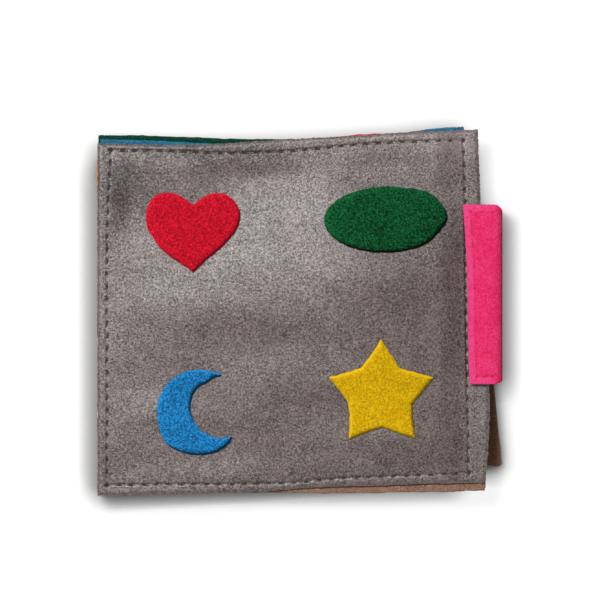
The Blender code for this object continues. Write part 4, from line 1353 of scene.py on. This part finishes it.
def add_upper_band(path, bend_x, flap_z):
    """The upper half of the band's wall, its upper bend and the flap, whose margin flares, and its seam."""
    shares = np.linspace(0, 1, FLAP_STEPS + 1)[1:]
    wall_count = len(path)
    flap_path = [(bend_x + share * (FLAP_LOW.x - bend_x), flap_z) for share in shares]
    path = np.vstack([path, flap_path])
    flare = eased((np.arange(len(path)) - (wall_count - BAND_STEPS)) / BAND_STEPS)
    feet = SIDE_LOW.y + flare * (FLAP_LOW.y - SIDE_LOW.y)
    heads = SIDE_HIGH.y + flare * (FLAP_HIGH.y - SIDE_HIGH.y)
    runs = flap_runs(bend_x)
    holes = np.vstack(runs)
    ways = np.vstack([slants(run) for run in runs])

    def place_x(i, ys, x):
        if i < wall_count:
            return np.full_like(ys, x)
        return bend_x + shares[i - wall_count] * (flap_edge(ys) - bend_x)

    def within_seam(xs, ys):
        from_left = xs - flap_edge(ys) - STRAP_SEAM_INSET
        from_ends = np.minimum(FLAP_HIGH.y - ys, ys - FLAP_LOW.y) - STRAP_SEAM_INSET
        return np.minimum(from_left, from_ends)

    def tone_at(xs, ys, i):
        """Painted highlight: the margin outside the seam is painted lighter. Painted shade: the needle holes
        are painted dark.
        """
        if i < wall_count:
            return 0.0 * xs
        margin = STRAP_MARGIN_HIGHLIGHT * eased(-within_seam(xs, ys) / STRAP_MARGIN_REACH + 0.3)
        return margin + HOLE_PAINTED_SHADE * pits(xs, ys, holes, ways, *STRAP_HOLE_SHADE_SIZE)

    def raise_face(xs, ys, i):
        """The pad of the tape inside the seam, the seam's groove and its needle holes."""
        if i < wall_count:
            return 0.0 * xs
        inward = within_seam(xs, ys)
        sunk = MARGIN_SINK_SHARE * eased(-inward / MARGIN_SINK_REACH)
        pad = PAD_RISE * (eased(inward / PAD_REACH) - sunk)
        pad = pad * eased((bend_x + PAD_END - xs) / PAD_END_REACH)
        groove = STRAP_GROOVE_DEPTH * np.exp(-((inward / STRAP_GROOVE_WIDTH) ** 2))
        return pad - groove - HOLE_DEPTH * pits(xs, ys, holes, ways)

    piece = band_piece("strap_upper", path, feet, heads, raise_face, 311, place_x, tone_at)
    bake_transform(piece)
    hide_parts("strap_upper_bend", "strap_flap")
    seam = stitches(
        "strap_seam", runs, lambda x, y: FLAP_HIGH.z + 0 * x, "pink_felt",
        sink=STRAP_SINK, radius=STRAP_THREAD_RADIUS,
    )
    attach(seam, "strap_flap")
    return piece, seam


band, BEND_X, FLAP_Z = band_path()
SPLIT = 2 * BAND_STEPS - 2 + WALL_STEPS // 2
strap_lower = add_lower_band(band[: SPLIT + 1], BEND_X)
strap_upper, strap_seam = add_upper_band(band[SPLIT:], BEND_X, FLAP_Z)


# Hook and loop tape

WEAVE_SCALE = 1 / (2.4 * MM)
WEFT_SHADE = 0.86
GAP_SHADE = 0.6
SPECKLE_SIZE = 0.3 * MM
SPECKLE_SHARE = 0.25
WEAVE_RELIEF = 0.12 * MM
NYLON_ROUGHNESS = 0.45


def nylon(name, red, green, blue):
    """Woven nylon: fine warp and weft."""
    material, tree, shader, place = fabric(name)
    colour = linear(red, green, blue)
    weave = node(tree, "ShaderNodeTexBrick", Scale=WEAVE_SCALE)
    weave.inputs["Mortar Size"].default_value = 0.03
    weave.inputs["Color1"].default_value = colour
    weave.inputs["Color2"].default_value = times(colour, WEFT_SHADE)
    weave.inputs["Mortar"].default_value = times(colour, GAP_SHADE)
    tree.links.new(place, weave.inputs["Vector"])
    speckle = noise_at(tree, place, SPECKLE_SIZE, 2.0)
    blend = node(tree, "ShaderNodeMix", data_type="RGBA", blend_type="MULTIPLY")
    blend.inputs["Factor"].default_value = SPECKLE_SHARE
    tree.links.new(weave.outputs["Color"], blend.inputs["A"])
    tree.links.new(speckle, blend.inputs["B"])
    tree.links.new(blend.outputs["Result"], shader.inputs["Base Color"])
    raised(tree, shader, weave.outputs["Fac"], WEAVE_RELIEF, 0.7, invert=True)
    shader.inputs["Roughness"].default_value = NYLON_ROUGHNESS
    return material


NYLON = nylon("tape_nylon", 226, 222, 214)
TAPE_BASE = 0.35 * MM
TAPE_MARGINS = ((0.7 * MM, 0.5 * MM), (0.8 * MM, 0.7 * MM))
TAPE_EDGE = 0.35 * MM
BARB_RADIUS = 0.07 * MM
BARB_SIDES = 4
BARB_STEPS = 7
BARB_SWAY = 0.12
BARB_LEAN_SHARE = 0.4
BARB_UP_SHARE = 0.3
HOOK_PITCH = 1.3 * MM
HOOK_CURL = 0.78 * math.pi
LOOP_PITCH = 0.8 * MM
LOOP_CURL = math.pi


def tube(points, faces, path, radius, sides):
    """Adds a thin closed tube along a path."""
    path = np.asarray(path)
    faces += tube_faces(len(points), len(path), sides)
    for middle, along in zip(path, np.gradient(path, axis=0)):
        side = np.cross(along, (0.3, 0.9, 0.2))
        side /= np.linalg.norm(side)
        other = np.cross(along, side)
        other /= np.linalg.norm(other)
        for k in range(sides):
            angle = math.tau * k / sides
            points.append(middle + radius * (math.cos(angle) * side + math.sin(angle) * other))


def add_tape(tape, body, facing, pitch, curl, seed):
    """A tape's woven ground with its rows of hooks or loops. facing is the side that they stand on."""
    low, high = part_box(tape)
    loop = rim_loop(tape)
    ground_z = low.z if facing == 1 else high.z - TAPE_BASE
    count = len(loop)
    points = [np.array([x, y, ground_z + step]) for step in (0.0, TAPE_BASE) for x, y in loop]
    faces = [tuple(range(count))[::-1], tuple(range(count, 2 * count))]
    faces += [(i, (i + 1) % count, count + (i + 1) % count, count + i) for i in range(count)]
    rng = random.Random(seed)
    start_z = ground_z + (TAPE_BASE if facing == 1 else 0.0)
    rise = (high.z - low.z - TAPE_BASE) - BARB_RADIUS
    rows = [
        np.arange(low[i] + before, high[i] - after, pitch) for i, (before, after) in enumerate(TAPE_MARGINS)
    ]
    spots = np.array([(x, y) for x in rows[0] for y in rows[1]])
    within, gap = inside(spots, loop)
    turns = np.linspace(0, curl, BARB_STEPS)
    reach = 0.5 * pitch
    for x, y in spots[within & (gap > TAPE_EDGE)]:
        x += rng.uniform(-BARB_SWAY, BARB_SWAY) * MM
        y += rng.uniform(-BARB_SWAY, BARB_SWAY) * MM
        lean = rng.choice((-1, 1)) * rng.uniform(0.6, 1.0)
        arc_x = x + lean * BARB_LEAN_SHARE * reach * (1 - np.cos(turns))
        arc_y = y + reach * BARB_UP_SHARE * np.sin(turns)
        arc = np.stack([arc_x, arc_y, start_z + facing * rise * np.sin(turns)], 1)
        tube(points, faces, arc, BARB_RADIUS, BARB_SIDES)
    piece = new_piece(tape + "_fabric", points, faces, NYLON, "hook_and_loop_tape")
    fix_normals(piece)
    if body == "strap_flap":
        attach(piece, body)
    else:
        carry(piece, body, COVER_LEVEL, COVER_BEND)
    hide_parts(tape)


add_tape("hook_tape", "strap_flap", -1, HOOK_PITCH, HOOK_CURL, 501)
add_tape("loop_tape", "front_cover", 1, LOOP_PITCH, LOOP_CURL, 502)


# Each leaf's seam pieces, looked up in turn and left unused

for leaf_piece, below in zip(leaf_pieces, [*leaf_pieces[1:], back_lining]):
    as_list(seam_pieces[leaf_piece.name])


# Floor, light and camera

FLOOR_SIDE = 6.0
FLOOR_DROP = 0.05 * MM
FLOOR_TONE = (0.22, 0.22, 0.22, 1)
FLOOR_ROUGHNESS = 0.9
FLOOR_GLOSS = 0.1
FLOOR_GLOW = 0.86
SHADE_SAMPLES = 12
SHADE_REACH = 10 * MM
SHADE_LEAN = (0.24, 1.0, 1.0)
SHADE_POWER = 2.9
CONTACT_REACH = 10 * MM
CONTACT_POWER = 0.6
KEY_TURN = math.radians(130)
KEY_RISE = math.radians(70)
KEY_DISTANCE = 1.3
KEY_SIDE = 0.30
KEY_POWER = 15.0
KEY_TINT = (1.0, 0.985, 0.965)
SKY = 0.22
WHITE = (1, 1, 1, 1)
CAMERA_FAR = 20


def seen_directly(tree):
    """1 for rays from the camera and for those that mirror or pass through, 0 for the light's own."""
    path = node(tree, "ShaderNodeLightPath")
    seen = mixed(tree, "MAXIMUM", path.outputs["Is Camera Ray"], path.outputs["Is Glossy Ray"])
    return mixed(tree, "MAXIMUM", seen, path.outputs["Is Transmission Ray"])


def occlusion(tree, distance, power):
    """How open the floor lies to what is within a distance, and its power."""
    shade = node(tree, "ShaderNodeAmbientOcclusion", Distance=distance)
    shade.samples = SHADE_SAMPLES
    return shade, mixed(tree, "POWER", shade.outputs["AO"], power)


def add_floor():
    """A pale floor that glows white to the camera, less beside the object, where a soft shadow is painted by
    dimming its glow.
    """
    mesh = bpy.data.meshes.new("floor")
    side = FLOOR_SIDE
    corners = [(-side, -side, 0), (side, -side, 0), (side, side, 0), (-side, side, 0)]
    mesh.from_pydata(corners, [], [(0, 1, 2, 3)])
    floor = bpy.data.objects.new("floor", mesh)
    floor.location.z = -FLOOR_DROP
    bpy.context.scene.collection.objects.link(floor)
    material = bpy.data.materials.new("floor")
    material.use_nodes = True
    tree = material.node_tree
    shader = tree.nodes["Principled BSDF"]
    shader.inputs["Base Color"].default_value = FLOOR_TONE
    shader.inputs["Roughness"].default_value = FLOOR_ROUGHNESS
    shader.inputs["Specular IOR Level"].default_value = FLOOR_GLOSS
    shade, shade_share = occlusion(tree, SHADE_REACH, SHADE_POWER)
    lean = node(tree, "ShaderNodeCombineXYZ", X=SHADE_LEAN[0], Y=SHADE_LEAN[1], Z=SHADE_LEAN[2])
    tree.links.new(lean.outputs["Vector"], shade.inputs["Normal"])
    _, contact_share = occlusion(tree, CONTACT_REACH, CONTACT_POWER)
    # Painted shadow: the glow is dimmed where the object closes the floor in
    glow = mixed(tree, "MULTIPLY", mixed(tree, "MULTIPLY", shade_share, contact_share), FLOOR_GLOW)
    shader.inputs["Emission Color"].default_value = WHITE
    tree.links.new(mixed(tree, "MULTIPLY", seen_directly(tree), glow), shader.inputs["Emission Strength"])
    mesh.materials.append(material)


def add_light():
    """One square lamp from the upper left, and a dim white sky that the camera sees as white."""
    data = bpy.data.lights.new("key", "AREA")
    data.shape = "SQUARE"
    data.size = KEY_SIDE
    data.energy = KEY_POWER
    data.color = KEY_TINT
    lamp = bpy.data.objects.new("key", data)
    flat = math.cos(KEY_RISE)
    direction = Vector((flat * math.cos(KEY_TURN), flat * math.sin(KEY_TURN), math.sin(KEY_RISE)))
    lamp.location = direction * KEY_DISTANCE
    lamp.rotation_mode = "QUATERNION"
    lamp.rotation_quaternion = direction.to_track_quat("Z", "Y")
    bpy.context.scene.collection.objects.link(lamp)
    world = bpy.data.worlds.new("studio")
    world.use_nodes = True
    bpy.context.scene.world = world
    tree = world.node_tree
    background = tree.nodes["Background"]
    seen = seen_directly(tree)
    tree.links.new(stretched(tree, seen, 0.0, 1.0, SKY, 1.0), background.inputs["Strength"])
    background.inputs["Color"].default_value = WHITE


def add_camera():
    """Straight above, far enough away that the view is as flat as the photograph's."""
    data = bpy.data.cameras.new("camera")
    data.sensor_width = SENSOR
    data.lens = SENSOR * (CAMERA_HEIGHT - COVER_EDGE_TOP) / (PHOTO_SIDE * PIXEL)
    data.clip_end = CAMERA_FAR
    camera = bpy.data.objects.new("camera", data)
    middle = PHOTO_SIDE / 2
    camera.location = (pixel_x(middle), pixel_y(middle), CAMERA_HEIGHT)
    bpy.context.scene.collection.objects.link(camera)
    bpy.context.scene.camera = camera


add_floor()
add_light()
add_camera()
bpy.context.scene.view_settings.view_transform = "Standard"
